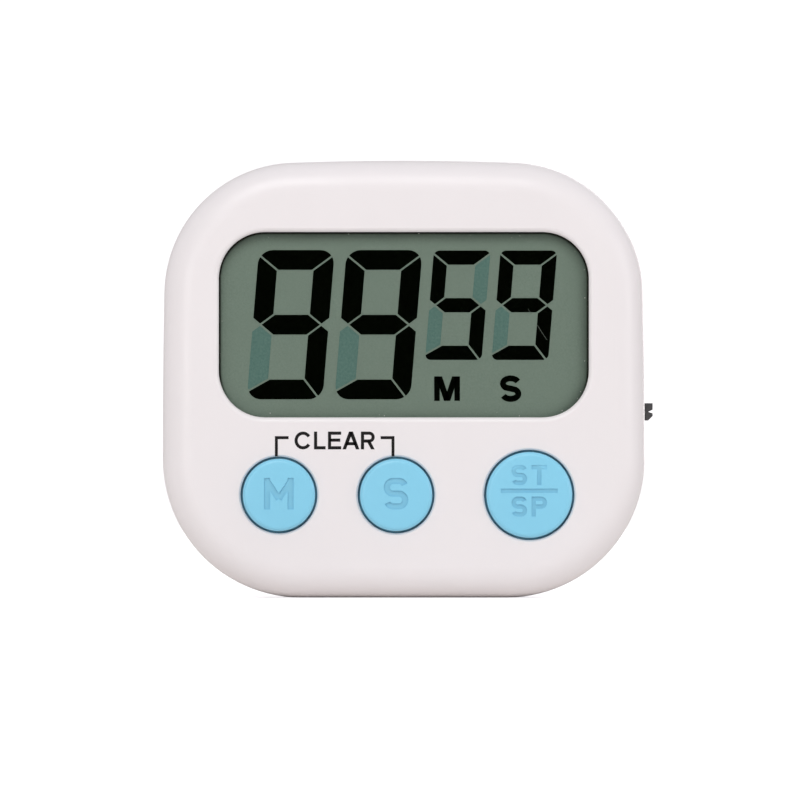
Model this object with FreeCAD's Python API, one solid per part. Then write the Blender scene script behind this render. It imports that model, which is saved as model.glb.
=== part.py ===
import FreeCAD, Part
import os
from math import pi, sqrt, tan

# A small upright digital bench timer. Millimetres, +Z up, +X to the right of someone
# facing the display, front towards -Y. The origin is on the surface that the timer
# stands on, under the middle of the case.

V = FreeCAD.Vector
TINY = 0.02

# ---- driving dimensions ----

# case outline, seen from the front: flat base, faintly bowed sides and top, large corners
case_width = 75.0
case_height = 68.0
side_bow_radius = 1300.0
widest_height = 23.0
top_bow_radius = 480.0
bottom_corner = 21.5
top_corner = 20.5

# case walls and edges
front_wall = 2.0
side_wall = 1.8
back_wall = 1.8
front_edge_round = 4.6
inner_edge_round = 2.0
back_edge_round = 2.0
cover_depth = 5.5
lip_gap = 0.15
lip_thickness = 0.9
lip_depth = 1.4
glue_gap = 0.1

# display opening and its clear pane
opening_width = 57.5
opening_height = 28.8
opening_corner = 7.2
opening_round = 0.8
opening_middle = 42.45
pane_thickness = 0.8
pane_overlap = 1.2
frame_gap = 0.25
frame_rib = 0.8
frame_depth = 2.2

# liquid crystal cell, front to back
film_gap = 0.05
polarizer_thickness = 0.2
glass_thickness = 0.9
reflector_thickness = 0.25
glass_ledge = 2.8
film_inset = 0.4

# battery: one AAA cell lying across the case behind the display
cell_radius = 5.25
cell_length = 44.5
cell_middle_height = 52.0
sleeve_thickness = 0.15
sleeve_end_lip = 0.5
nub_radius = 1.9
nub_length = 1.0
cell_gap = 0.1
cell_side_gap = 0.15
tray_floor = 0.9
tray_wall = 1.0
foam_thickness = 0.4
contact_thickness = 0.3
contact_floor_gap = 0.3
contact_bump = 0.9
contact_height = 9.6
spring_length = 3.8
spring_wire = 0.3
spring_radius = 2.9
spring_gap = 0.05
spring_turns = 3.0
tab_width = 2.0
tab_reach = 0.8

# battery door, which slides up out of the back
door_thickness = 1.5
door_width = 52.0
door_gap = 0.25
door_lift = 0.2
door_lap = 1.35
tongue_reach = 0.9
tongue_thickness = 0.6
grip_grooves = 5
grip_pitch = 1.5
grip_width = 12.0
grip_depth = 0.4

# buttons
minute_place = -19.4
second_place = -1.2
start_place = 19.5
small_cap_radius = 5.63
large_cap_radius = 6.68
button_gap = 0.35
button_proud = 1.0
cap_dome_radius = 80.0
cap_edge_round = 0.7
flange_reach = 1.15
flange_thickness = 0.7
flange_gap = 0.2
flange_glass_gap = 0.22
cap_skin = 1.4
cap_side_wall = 1.1
stem_radius = 2.2
hole_bevel = 0.25
legend_depth = 0.3
big_pen = 0.95
small_pen = 0.66
big_wide = 4.6
big_slim = 3.8
big_tall = 4.9
big_rise = 0.2
legend_column = 1.55
legend_small_wide = 2.4
legend_small_tall = 3.1
legend_upper = 3.1
legend_lower = -1.8
legend_bar_half = 4.4
legend_bar_rise = 0.65
button_travel = 0.8

# silicone keypad mat and its carbon contacts
mat_thickness = 0.6
contact_gap = 0.05
dome_top = 0.8
dome_skirt = 0.45
dome_slope = 1.8
dome_top_radius = 2.8
pill_radius = 1.9
pill_thickness = 0.35
stem_gap = 0.05
stem_reach = 1.45

# circuit board
board_thickness = 1.2
board_inset = 0.9
board_margin = 1.7
board_boss_gap = 0.5
mat_margin = 0.32
mat_overhang = 0.2
board_gap = 1.6
strip_width = 1.8
strip_length = 54.0
board_screw_clearance = 0.15
terminal_clearance = 0.1

# what stands on the back of the board; a place is (x, height)
blob_place = (1.0, 30.0)
blob_radius = 4.2
blob_rise = 1.5
crystal_left = 9.0
crystal_right = 15.0
crystal_height = 36.0
crystal_radius = 1.0
crystal_lead = 0.3
crystal_lead_step = 0.4
crystal_lead_root = 0.5
crystal_lead_reach = 2.0
drum_place = (-8.0, 36.5)
drum_radius = 2.2
drum_waist_radius = 1.8
drum_tall = 4.2
drum_flange = 0.6
transistor_place = (-13.1, 29.7)
transistor_wide = 2.8
transistor_tall = 1.4
transistor_thick = 1.0
transistor_lift = 0.1
leg_width = 0.4
leg_step = 0.95
leg_root = 0.6
leg_reach = 1.4
capacitor_places = [(8.0, 27.0), (-6.0, 27.5), (20.0, 33.0)]
capacitor_wide = 2.0
capacitor_tall = 1.25
capacitor_rise = 1.0
resistor_places = [(12.0, 27.0), (-9.5, 24.5), (-4.0, 33.5), (5.0, 24.0)]
resistor_wide = 1.6
resistor_tall = 0.8
resistor_rise = 0.5

# screws: self-tapping, cross head
case_screw_radius = 0.95
case_screw_length = 8.0
case_head_radius = 1.9
case_head_height = 1.3
case_boss_radius = 2.8
screw_seat_depth = 4.0
low_screw_place = 10.0
low_screw_height = 6.5
high_screw_place = 22.0
board_screw_radius = 0.75
board_screw_length = 5.0
board_head_radius = 1.5
board_head_height = 0.9
board_post_radius = 1.9
low_post_reach = 1.77
high_post_place = 33.0
high_post_drop = 5.5
boss_gap = 1.1
post_gap = 0.5
pilot_gap = 0.4
screw_gap = 0.05
head_gap = 0.3

# stand
stand_width = 26.0
stand_length = 28.2
stand_thickness = 2.4
stand_gap = 0.3
pin_radius = 0.75
pin_length = 1.4
pin_gap = 0.08
recess_floor = 1.2
thumb_notch_radius = 4.5
stand_rib_width = 1.0
stand_corner = 3.0
stand_rim = 3.0
recess_rail = 1.4

# magnets and buzzer
magnet_radius = 5.0
magnet_thickness = 2.8
magnet_place = 25.5
magnet_drop = 7.2
pocket_wall = 1.2
pocket_gap = 0.1
buzzer_place = -24.8
buzzer_height = 19.5
buzzer_radius = 9.0
buzzer_chamber = 2.6
plate_thickness = 0.3
ceramic_radius = 6.5
ceramic_thickness = 0.25
sound_slot_width = 1.1
sound_slots = 5
sound_slot_pitch = 2.2
sound_slot_span = 12.0

# slide switch at the right-hand edge of the board
knob_height = 28.9
knob_travel = 2.0
knob_tall = 2.7
knob_thick = 1.3
knob_proud = 1.3
knob_notch = 0.7
knob_gap = 0.3
switch_depth = 3.7
switch_gap = 0.2
knob_step = 0.15
switch_tall = 7.4
switch_rise = 3.3
switch_base_thickness = 0.7
can_wall = 0.25
carriage_tall = 4.0
carriage_gap = 0.25
wiper_thickness = 0.25
wiper_gap = 0.05
terminal_radius = 0.3
terminal_reach = 1.8
terminal_pitch = 2.5
terminal_inset = 1.0
wiper_margin = 0.6
wiper_lead_in = 0.4

# leads
lead_radius = 0.4
battery_lead_drop = 6.3

# ---- places worked out from them ----

half_width = case_width / 2
stack_depth = film_gap + polarizer_thickness + 2 * glass_thickness + reflector_thickness
cell_depth = cell_gap + 2 * cell_radius + door_gap + film_gap
case_depth = front_wall + stack_depth + foam_thickness + tray_floor + cell_depth + door_thickness
front_face = -case_depth / 2
back_face = case_depth / 2
inner_front = front_face + front_wall
inner_back = back_face - back_wall
seam = back_face - cover_depth

pane_front = inner_front - pane_thickness
polarizer_front = inner_front + film_gap
glass_front = polarizer_front + polarizer_thickness
glass_seam = glass_front + glass_thickness
glass_back = glass_seam + glass_thickness
display_back = glass_back + reflector_thickness

pane_half_width = opening_width / 2 + pane_overlap
pane_bottom = opening_middle - opening_height / 2 - pane_overlap
pane_top = opening_middle + opening_height / 2 + pane_overlap
glass_half_width = pane_half_width - film_gap
glass_bottom = pane_bottom - glass_ledge
glass_top = pane_top - film_gap

button_height = glass_bottom - flange_glass_gap - flange_reach - large_cap_radius
low_post_place = start_place + large_cap_radius + flange_reach + low_post_reach
board_bottom = low_screw_height + case_boss_radius + board_boss_gap
low_post_height = board_bottom + board_margin

tray_front = display_back + foam_thickness
tray_inside = tray_front + tray_floor
cell_y = tray_inside + cell_gap + cell_radius
tray_half_width = cell_length / 2 + (spring_length + contact_bump + 2 * contact_thickness) / 2
tray_half_height = cell_radius + cell_side_gap
tray_bottom = cell_middle_height - tray_half_height - tray_wall
tray_top = cell_middle_height + tray_half_height + tray_wall
cell_right = tray_half_width - contact_thickness - contact_bump
cell_left = cell_right - cell_length

door_inside = back_face - door_thickness
door_floor = door_inside - door_lift
door_bottom = tray_bottom - door_lap
groove_half_width = door_width / 2 + tongue_reach + door_gap

flange_front = inner_front + flange_gap
flange_back = flange_front + flange_thickness
stem_back = flange_back + stem_reach
dome_height = dome_top + pill_thickness + button_travel + contact_gap
board_front = stem_back + stem_gap + dome_height
board_back = board_front + board_thickness
board_top = tray_bottom - board_gap
mat_front = board_front - mat_thickness
dome_front = board_front - dome_height
high_post_height = board_top - high_post_drop
high_screw_height = tray_top + boss_gap + case_boss_radius
screw_seat = back_face - screw_seat_depth

stand_axis_y = back_face - stand_thickness / 2
stand_axis_z = door_bottom - door_gap - recess_rail - stand_gap - stand_thickness / 2
stand_bottom = stand_axis_z - stand_length
stand_floor = back_face - stand_thickness - stand_gap

magnet_height = door_bottom - magnet_drop
pocket_floor = back_face - magnet_thickness - pocket_gap
buzzer_ledge = inner_back - buzzer_chamber

switch_middle = knob_height - knob_travel / 2
switch_right = half_width - side_wall - board_inset - switch_gap
switch_left = switch_right - switch_depth
base_back = board_back + switch_base_thickness
can_back = board_back + switch_rise
knob_front = base_back + wiper_gap + wiper_thickness + knob_step


# ---- shapes that everything is built from ----

def block(x0, x1, y0, y1, z0, z1):
    """A box between two corners."""
    return Part.makeBox(x1 - x0, y1 - y0, z1 - z0, V(x0, y0, z0))


def rod_y(x, z, radius, y0, y1):
    """A round bar from front to back."""
    return Part.makeCylinder(radius, y1 - y0, V(x, y0, z), V(0, 1, 0))


def rod_x(y, z, radius, x0, x1):
    """A round bar from left to right."""
    return Part.makeCylinder(radius, x1 - x0, V(x0, y, z), V(1, 0, 0))


def joined(shapes):
    """One solid from several that overlap."""
    return shapes[0].multiFuse(shapes[1:]).removeSplitter()


def edges_front_to_back(shape, low, high):
    """The edges that run along Y between two heights."""
    found = []
    for edge in shape.Edges:
        box = edge.BoundBox
        if box.XLength < TINY and box.ZLength < TINY and low < box.ZMin < high:
            found.append(edge)
    return found


def lower_corners(shape, z):
    """The edges that run along Y from the corners of a plate's lower side."""
    return edges_front_to_back(shape, z - 1, z + 1)


def edges_at_depth(shape, y):
    """The edges that lie in one plane across Y."""
    return [e for e in shape.Edges if e.BoundBox.YLength < TINY and abs(e.BoundBox.YMin - y) < TINY]


def rounded_plate(half, z0, z1, corner, y0, y1):
    """A plate facing Y with round corners, centred on the middle plane."""
    plate = block(-half, half, y0, y1, z0, z1)
    return plate.makeFillet(corner, edges_front_to_back(plate, z0 - 1, z1 + 1))


def case_block(inset, y0, y1, front_round=0, back_round=0):
    """The case's outline moved inwards by an even inset, from y0 to y1, with its front and
    back rims rounded."""
    side = side_bow_radius - inset
    bow_place = half_width - side_bow_radius
    body = block(-case_width, case_width, y0, y1, inset, 2 * case_height)
    body = body.common(rod_y(bow_place, widest_height, side, y0, y1))
    body = body.common(rod_y(-bow_place, widest_height, side, y0, y1))
    body = body.common(rod_y(0, case_height - top_bow_radius, top_bow_radius - inset, y0, y1))
    middle = case_height / 2
    low = edges_front_to_back(body, -1, middle)
    body = body.makeFillet(bottom_corner - inset, low)
    high = edges_front_to_back(body, middle, case_height)
    high = [e for e in high if abs(e.BoundBox.XMin) > half_width - top_corner / 2]
    body = body.makeFillet(top_corner - inset, high)
    if front_round:
        body = body.makeFillet(front_round, edges_at_depth(body, y0))
    if back_round:
        body = body.makeFillet(back_round, edges_at_depth(body, y1))
    return body


def stroke(x0, z0, x1, z1, pen, y0, y1):
    """A straight pen stroke with square ends, sunk from y0 to y1."""
    run = V(x1 - x0, 0, z1 - z0)
    bar = Part.makeBox(run.Length, y1 - y0, pen, V(0, y0, -pen / 2))
    bar.rotate(V(0, 0, 0), V(0, -1, 0), V(1, 0, 0).getAngle(run) * 180 / pi * (1 if run.z >= 0 else -1))
    bar.translate(V(x0, 0, z0))
    return bar


def bend(x, z, radius, start, sweep, pen, y0, y1):
    """A round pen stroke about a centre, from the start angle anticlockwise seen from the front."""
    outer = Part.makeCylinder(radius + pen / 2, y1 - y0, V(0, 0, 0), V(0, 0, 1), sweep)
    inner = Part.makeCylinder(radius - pen / 2, y1 - y0, V(0, 0, 0), V(0, 0, 1), sweep)
    ring = outer.cut(inner)
    ring.rotate(V(0, 0, 0), V(0, 0, 1), start)
    ring.rotate(V(0, 0, 0), V(1, 0, 0), 90)
    ring.translate(V(x, y1, z))
    return ring


# ---- legends sunk into the button caps ----

def letter_m(x, z, wide, tall, pen, y0, y1):
    left = x - wide / 2 + pen / 2
    right = x + wide / 2 - pen / 2
    low = z - tall / 2
    high = z + tall / 2
    dip = z - tall / 6
    return [
        stroke(left, low, left, high, pen, y0, y1),
        stroke(right, low, right, high, pen, y0, y1),
        stroke(left, high - pen / 2, x, dip, pen, y0, y1),
        stroke(right, high - pen / 2, x, dip, pen, y0, y1),
    ]


def letter_s(x, z, wide, tall, pen, y0, y1):
    radius = (tall - pen) / 4
    flat = max(wide / 2 - pen / 2 - radius, 0.05)
    middle = z
    return [
        bend(x - flat, middle + radius, radius, 90, 180, pen, y0, y1),
        bend(x + flat, middle - radius, radius, -90, 180, pen, y0, y1),
        bend(x + flat, middle + radius, radius, 25, 65, pen, y0, y1),
        bend(x - flat, middle - radius, radius, 205, 65, pen, y0, y1),
        stroke(x - flat, middle, x + flat, middle, pen, y0, y1),
        stroke(x - flat, middle + 2 * radius, x + flat, middle + 2 * radius, pen, y0, y1),
        stroke(x - flat, middle - 2 * radius, x + flat, middle - 2 * radius, pen, y0, y1),
    ]


def letter_t(x, z, wide, tall, pen, y0, y1):
    bar = z + tall / 2 - pen / 2
    return [
        stroke(x - wide / 2, bar, x + wide / 2, bar, pen, y0, y1),
        stroke(x, z - tall / 2, x, bar, pen, y0, y1),
    ]


def letter_p(x, z, wide, tall, pen, y0, y1):
    left = x - wide / 2 + pen / 2
    radius = (tall - pen) / 4
    top = z + tall / 2 - pen / 2
    turn = x + wide / 2 - pen / 2 - radius
    return [
        stroke(left, z - tall / 2, left, z + tall / 2, pen, y0, y1),
        stroke(left, top, turn, top, pen, y0, y1),
        stroke(left, top - 2 * radius, turn, top - 2 * radius, pen, y0, y1),
        bend(turn, top - radius, radius, -90, 180, pen, y0, y1),
    ]


# ---- case ----

def button_holes():
    """Name, place and cap radius of each button."""
    return [
        ("minute", minute_place, small_cap_radius),
        ("second", second_place, small_cap_radius),
        ("start_stop", start_place, large_cap_radius),
    ]


def mirrored(place, height):
    """A pair of places, left and right."""
    return [(-place, height), (place, height)]


def case_screw_places():
    return mirrored(low_screw_place, low_screw_height) + mirrored(high_screw_place, high_screw_height)


def board_screw_places():
    return mirrored(low_post_place, low_post_height) + mirrored(high_post_place, high_post_height)


def opened(wall):
    """Cuts the display opening through the front wall and rounds its front edge."""
    half = opening_width / 2
    low = opening_middle - opening_height / 2
    high = opening_middle + opening_height / 2
    hole = rounded_plate(half, low, high, opening_corner, front_face - 1, inner_front + 1)
    wall = wall.cut(hole)
    rim = [e for e in edges_at_depth(wall, front_face) if abs(e.BoundBox.Center.x) <= half
           and low - TINY <= e.BoundBox.ZMin and e.BoundBox.ZMax <= high + TINY]
    return wall.makeFillet(opening_round, rim)


def pane_rebate():
    """The rebate behind the opening that the pane sits in."""
    return rounded_plate(
        pane_half_width + glue_gap,
        pane_bottom - glue_gap,
        pane_top + glue_gap,
        opening_corner + pane_overlap + glue_gap,
        pane_front,
        inner_front + TINY,
    )


def display_frame():
    """Ribs on the inside of the front wall that hold the display glass at its sides and top."""
    side = pane_half_width + frame_gap
    back = inner_front + frame_depth
    base = inner_front - TINY
    top = pane_top + frame_gap
    ribs = [block(side, side + frame_rib, base, back, pane_bottom + 2, glass_top - 3)]
    ribs.append(block(-side - frame_rib, -side, base, back, pane_bottom + 2, glass_top - 3))
    ribs.append(block(-glass_half_width + 6, glass_half_width - 6, base, back, top, top + frame_rib))
    return ribs


def knob_slot():
    low = knob_height - knob_travel - knob_tall / 2 - knob_gap
    high = knob_height + knob_tall / 2 + knob_gap
    return block(half_width - side_wall - 1, half_width + 1, knob_front - knob_gap,
                 knob_front + knob_thick + knob_gap, low, high)


def front_shell():
    outer = case_block(0, front_face, seam, front_round=front_edge_round)
    shell = opened(outer.cut(case_block(side_wall, inner_front, seam + 1, front_round=inner_edge_round)))
    base = inner_front - TINY
    added = display_frame()
    for x, z in case_screw_places():
        added.append(rod_y(x, z, case_boss_radius, base, seam - glue_gap))
    for x, z in board_screw_places():
        added.append(rod_y(x, z, board_post_radius, base, board_front))
    shell = joined([shell] + [piece.common(outer) for piece in added])
    taken = [pane_rebate(), knob_slot()]
    for name, x, radius in button_holes():
        hole = radius + button_gap
        taken.append(rod_y(x, button_height, hole, front_face - 1, inner_front + 1))
        rim = V(x, front_face, button_height)
        taken.append(Part.makeCone(hole + hole_bevel, hole, hole_bevel, rim, V(0, 1, 0)))
    for x, z in case_screw_places():
        pilot = case_screw_radius + screw_gap
        taken.append(rod_y(x, z, pilot, screw_seat - case_screw_length - pilot_gap, seam + 1))
    for x, z in board_screw_places():
        pilot = board_screw_radius + screw_gap
        taken.append(rod_y(x, z, pilot, board_back - board_screw_length - pilot_gap, board_front + 1))
    return shell.cut(taken)


def cover_lip():
    """The lip that keeps the two halves of the case in line."""
    inner = side_wall + lip_gap + lip_thickness
    hollow = case_block(inner, seam - lip_depth - 1, inner_back)
    root = case_block(side_wall - 0.5, seam, seam + 1.5)
    lip = case_block(side_wall + lip_gap, seam - lip_depth, seam + 0.5)
    lip = lip.fuse(root).cut(hollow)
    room = case_boss_radius + lip_gap
    return lip.cut([rod_y(x, z, room, seam - lip_depth - 1, seam) for x, z in case_screw_places()])


def buzzer_seat():
    """A ring on the back wall: a sound chamber, a ledge for the buzzer's plate and a rim round it."""
    rim = buzzer_radius + pocket_gap
    top = buzzer_ledge - plate_thickness
    ring = rod_y(buzzer_place, buzzer_height, rim + frame_rib, top, inner_back + TINY)
    ring = ring.cut(rod_y(buzzer_place, buzzer_height, rim, top - 1, buzzer_ledge))
    return ring.cut(rod_y(buzzer_place, buzzer_height, rim - frame_rib, top - 1, inner_back))


def sound_opening():
    """Slots through the back wall, their ends on a circle round the buzzer."""
    slots = []
    for number in range(sound_slots):
        offset = (number - (sound_slots - 1) / 2) * sound_slot_pitch
        reach = sqrt((sound_slot_span / 2) ** 2 - offset ** 2)
        middle = buzzer_place + offset
        slots.append(block(middle - sound_slot_width / 2, middle + sound_slot_width / 2,
                           inner_back - 1, back_face + 1, buzzer_height - reach, buzzer_height + reach))
    return slots


def tray_slot(side):
    """The slot in the battery tray's lower wall that a contact's tab comes out through."""
    outer = side * (tray_half_width + contact_thickness / 3)
    inner = side * (tray_half_width - 1.5 * contact_thickness)
    middle = cell_y + tab_width
    return block(min(outer, inner), max(outer, inner), middle - 0.7 * tab_width, middle + 0.7 * tab_width,
                 tray_bottom - 1, tray_bottom + tray_wall + 1)


def stand_recess():
    half = stand_width / 2 + stand_gap
    top = stand_axis_z + stand_thickness / 2 + stand_gap
    low = stand_bottom - stand_gap
    reach = stand_width / 2 + pin_length + stand_gap / 2
    hollow = block(-half, half, stand_floor, back_face + 1, low, top)
    socket = rod_x(stand_axis_y, stand_axis_z, pin_radius + pin_gap, -reach, reach)
    notch = rod_y(0, low, thumb_notch_radius, stand_floor + 0.5, back_face + 1)
    return [hollow, socket, notch]


def door_recess():
    half = door_width / 2 + door_gap
    low = door_bottom - door_gap
    above = case_height + 2
    slot = block(-half, half, door_floor, back_face + 1, low, above)
    groove_back = door_inside + tongue_thickness + door_lift
    return [slot, block(-groove_half_width, groove_half_width, door_floor, groove_back, low, above)]


def rear_cover():
    outer = case_block(0, seam, back_face, back_round=back_edge_round)
    shell = outer.cut(case_block(side_wall, seam - 1, inner_back))
    behind = inner_back + TINY
    floor_front = stand_floor - recess_floor
    recess_half = stand_width / 2 + stand_gap + pocket_wall
    top = stand_axis_z + stand_thickness / 2 + stand_gap
    added = [cover_lip(), buzzer_seat()]
    added.append(block(-recess_half, recess_half, floor_front, behind,
                       stand_bottom - stand_gap - pocket_wall, top + 1.2))
    ear = recess_half + pin_length
    added.append(block(-ear, ear, floor_front, behind, stand_axis_z - 2, top + 1.2))
    notch_front = stand_floor + 0.5 - recess_floor
    added.append(rod_y(0, stand_bottom - stand_gap, thumb_notch_radius + pocket_wall, notch_front, behind))
    pad_half = groove_half_width + pocket_wall
    within = case_block(0.5, seam, back_face)
    pad = block(-pad_half, pad_half, door_floor - door_thickness, behind, door_bottom - 1.2, case_height)
    added.append(pad.common(within))
    added.append(block(-tray_half_width - tray_wall, tray_half_width + tray_wall, tray_front, behind,
                       tray_bottom, tray_top))
    for x, z in case_screw_places():
        added.append(rod_y(x, z, case_boss_radius, seam, behind).common(within))
    for x, z in mirrored(magnet_place, magnet_height):
        outside = magnet_radius + pocket_gap + pocket_wall
        added.append(rod_y(x, z, outside, pocket_floor - pocket_wall, behind))
    shell = joined([shell] + added)
    taken = door_recess() + stand_recess() + sound_opening() + [tray_slot(-1), tray_slot(1)]
    taken.append(block(-tray_half_width, tray_half_width, tray_inside, back_face,
                       cell_middle_height - tray_half_height, cell_middle_height + tray_half_height))
    for x, z in case_screw_places():
        taken.append(rod_y(x, z, case_screw_radius + screw_gap, seam - 1, back_face))
        taken.append(rod_y(x, z, case_head_radius + head_gap, screw_seat, back_face + 1))
    for x, z in mirrored(magnet_place, magnet_height):
        taken.append(rod_y(x, z, magnet_radius + pocket_gap, pocket_floor, back_face + 1))
    return shell.cut(taken)


def battery_door():
    """A flush panel with a tongue along each side, ending in the case's own rounded rim."""
    half = door_width / 2
    above = case_height + 1
    panel = block(-half, half, door_inside, back_face + 1, door_bottom, above)
    tongue_half = half + tongue_reach
    tongues = block(-tongue_half, tongue_half, door_inside, door_inside + tongue_thickness, door_bottom,
                    case_height - top_corner / 4)
    rim = case_block(0, seam, back_face, back_round=back_edge_round)
    door = panel.fuse(tongues).common(rim).removeSplitter()
    grooves = []
    for number in range(grip_grooves):
        low = door_bottom + 3 + number * grip_pitch
        grooves.append(block(-grip_width / 2, grip_width / 2, back_face - grip_depth, back_face + 1,
                             low, low + grip_pitch / 2))
    return door.cut(grooves)


def kickstand():
    """A flap with a round upper end and two stub pins that it turns on."""
    half = stand_width / 2
    front = back_face - stand_thickness
    flap = block(-half, half, front, back_face, stand_bottom, stand_axis_z)
    flap = flap.makeFillet(stand_corner, lower_corners(flap, stand_bottom))
    knuckle = rod_x(stand_axis_y, stand_axis_z, stand_thickness / 2, -half, half)
    reach = half + pin_length
    pins = rod_x(stand_axis_y, stand_axis_z, pin_radius, -reach, reach)
    flap = joined([flap, knuckle, pins])
    relief = block(-half + stand_rim, half - stand_rim, front - 1, front + stand_thickness / 3,
                   stand_bottom + stand_rim, stand_axis_z - 2 * stand_rim)
    rib = block(-stand_rib_width / 2, stand_rib_width / 2, front - 2, back_face, stand_bottom, stand_axis_z)
    grips = []
    for number in range(3):
        low = stand_bottom + 2 + number * grip_pitch
        grips.append(block(-5, 5, back_face - grip_depth, back_face + 1, low, low + grip_pitch / 2))
    return flap.cut([relief.cut(rib)] + grips)


# ---- display ----

def display_plate(half, low, high, y0, thickness):
    return block(-half, half, y0, y0 + thickness, low, high)


def display_pieces():
    film_half = glass_half_width - film_inset
    low = pane_bottom + film_inset
    high = glass_top - film_inset
    pane = rounded_plate(pane_half_width, pane_bottom, pane_top, opening_corner + pane_overlap,
                         pane_front, inner_front)
    return {
        "display_window": pane,
        "front_polarizer": display_plate(film_half, low, high, polarizer_front, polarizer_thickness),
        "lcd_front_glass": display_plate(glass_half_width, glass_bottom, glass_top, glass_front,
                                         glass_thickness),
        "lcd_rear_glass": display_plate(glass_half_width, pane_bottom, glass_top, glass_seam,
                                        glass_thickness),
        "rear_reflector": display_plate(film_half, low, high, glass_back, reflector_thickness),
        "foam_pad": display_plate(tray_half_width - 3, cell_middle_height - 2, tray_top - tray_wall,
                                  display_back, foam_thickness),
        "contact_strip": block(-strip_length / 2, strip_length / 2, glass_seam, board_front,
                               glass_bottom + 0.5, glass_bottom + 0.5 + strip_width),
    }


# ---- buttons and keypad ----

def button_cap(x, radius, legend):
    """A domed hollow cap with a flange behind the wall and a stem that presses the dome."""
    apex = front_face - button_proud
    cap = rod_y(x, button_height, radius, apex - 1, flange_front + TINY)
    cap = cap.common(Part.makeSphere(cap_dome_radius, V(x, apex + cap_dome_radius, button_height)))
    rim = [e for e in cap.Edges if e.BoundBox.YMin < front_face + 0.5 and e.BoundBox.XLength > radius]
    cap = cap.makeFillet(cap_edge_round, rim)
    flange = rod_y(x, button_height, radius + flange_reach, flange_front, flange_back)
    stem = rod_y(x, button_height, stem_radius, apex + cap_skin, stem_back)
    hollow = rod_y(x, button_height, radius - cap_side_wall, apex + cap_skin, flange_back + 1)
    cap = joined([cap, flange]).cut(hollow)
    return joined([cap, stem]).cut(legend)


def sunk(letter, x, rise, wide, tall, pen):
    """A letter's strokes, ready to be cut into the top of a cap."""
    apex = front_face - button_proud
    return letter(x, button_height + rise, wide, tall, pen, apex - 1, apex + legend_depth)


def start_stop_legend():
    """ST over a bar over SP: one button both starts and stops."""
    apex = front_face - button_proud
    bar_height = button_height + legend_bar_rise
    bar = stroke(start_place - legend_bar_half, bar_height, start_place + legend_bar_half, bar_height,
                 small_pen, apex - 1, apex + legend_depth)
    pairs = [
        (letter_s, -legend_column, legend_upper),
        (letter_t, legend_column, legend_upper),
        (letter_s, -legend_column, legend_lower),
        (letter_p, legend_column, legend_lower),
    ]
    letters = [bar]
    for letter, side, rise in pairs:
        letters += sunk(letter, start_place + side, rise, legend_small_wide, legend_small_tall, small_pen)
    return letters


def buttons():
    legends = {
        "minute": sunk(letter_m, minute_place, big_rise, big_wide, big_tall, big_pen),
        "second": sunk(letter_s, second_place, big_rise, big_slim, big_tall, big_pen),
        "start_stop": start_stop_legend(),
    }
    return {name + "_button": button_cap(x, radius, legends[name]) for name, x, radius in button_holes()}


def pills():
    top = dome_front + dome_top
    return {name + "_pill": rod_y(x, button_height, pill_radius, top, top + pill_thickness)
            for name, x, radius in button_holes()}


def keypad_mat():
    """A silicone sheet on the board with a thin-skirted dome under each button."""
    half = low_post_place - board_post_radius - post_gap
    high = button_height + large_cap_radius + mat_overhang
    sheet = block(-half, half, mat_front, board_front, board_bottom + mat_margin, high)
    low = mat_front
    domes = []
    hollows = []
    for name, x, radius in button_holes():
        middle = V(x, dome_front, button_height)
        base = dome_top_radius + dome_slope
        domes.append(Part.makeCone(dome_top_radius, base, low - dome_front + TINY, middle, V(0, 1, 0)))
        inside = dome_top_radius - dome_skirt
        deep = V(x, dome_front + dome_top, button_height)
        reach = dome_height - dome_top + TINY
        hollows.append(Part.makeCone(inside, base - dome_skirt, reach, deep, V(0, 1, 0)))
    return joined([sheet] + domes).cut(hollows)


# ---- board and electronics ----

def circuit_board():
    inset = side_wall + board_inset
    board = case_block(inset, board_front, board_back)
    board = board.common(block(-half_width, half_width, board_front, board_back, board_bottom, board_top))
    start = board_front - 1
    end = board_back + 1
    holes = []
    for x, z in board_screw_places():
        holes.append(rod_y(x, z, board_screw_radius + board_screw_clearance, start, end))
    for z in terminal_heights():
        holes.append(rod_y(terminal_place(), z, terminal_radius + terminal_clearance, start, end))
    return board.cut(holes)


def chip_blob():
    """A drop of black resin over the bare chip."""
    x, z = blob_place
    sphere = (blob_radius ** 2 + blob_rise ** 2) / (2 * blob_rise)
    drop = Part.makeSphere(sphere, V(x, board_back + blob_rise - sphere, z))
    return drop.common(rod_y(x, z, 2 * blob_radius, board_back, board_back + 2 * blob_rise))


def crystal():
    """A tuning-fork crystal: a small metal can lying on the board with two bent leads."""
    half = crystal_lead / 2
    axis = board_back + crystal_radius
    root = crystal_right - crystal_lead_root
    tip = crystal_right + crystal_lead_reach
    pieces = [rod_x(axis, crystal_height, crystal_radius, crystal_left, crystal_right)]
    for side in (-1, 1):
        middle = crystal_height + side * crystal_lead_step
        pieces.append(block(root, tip, axis - half, axis + half, middle - half, middle + half))
        pieces.append(block(tip - crystal_lead, tip, board_back, axis + half, middle - half, middle + half))
    return joined(pieces)


def inductor():
    """The buzzer's step-up coil: a drum core standing on the board."""
    x, z = drum_place
    top = board_back + drum_tall
    drum = rod_y(x, z, drum_radius, board_back, top)
    groove = rod_y(x, z, drum_radius + 1, board_back + drum_flange, top - drum_flange)
    return drum.cut(groove.cut(rod_y(x, z, drum_waist_radius, board_back, top)))


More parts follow.
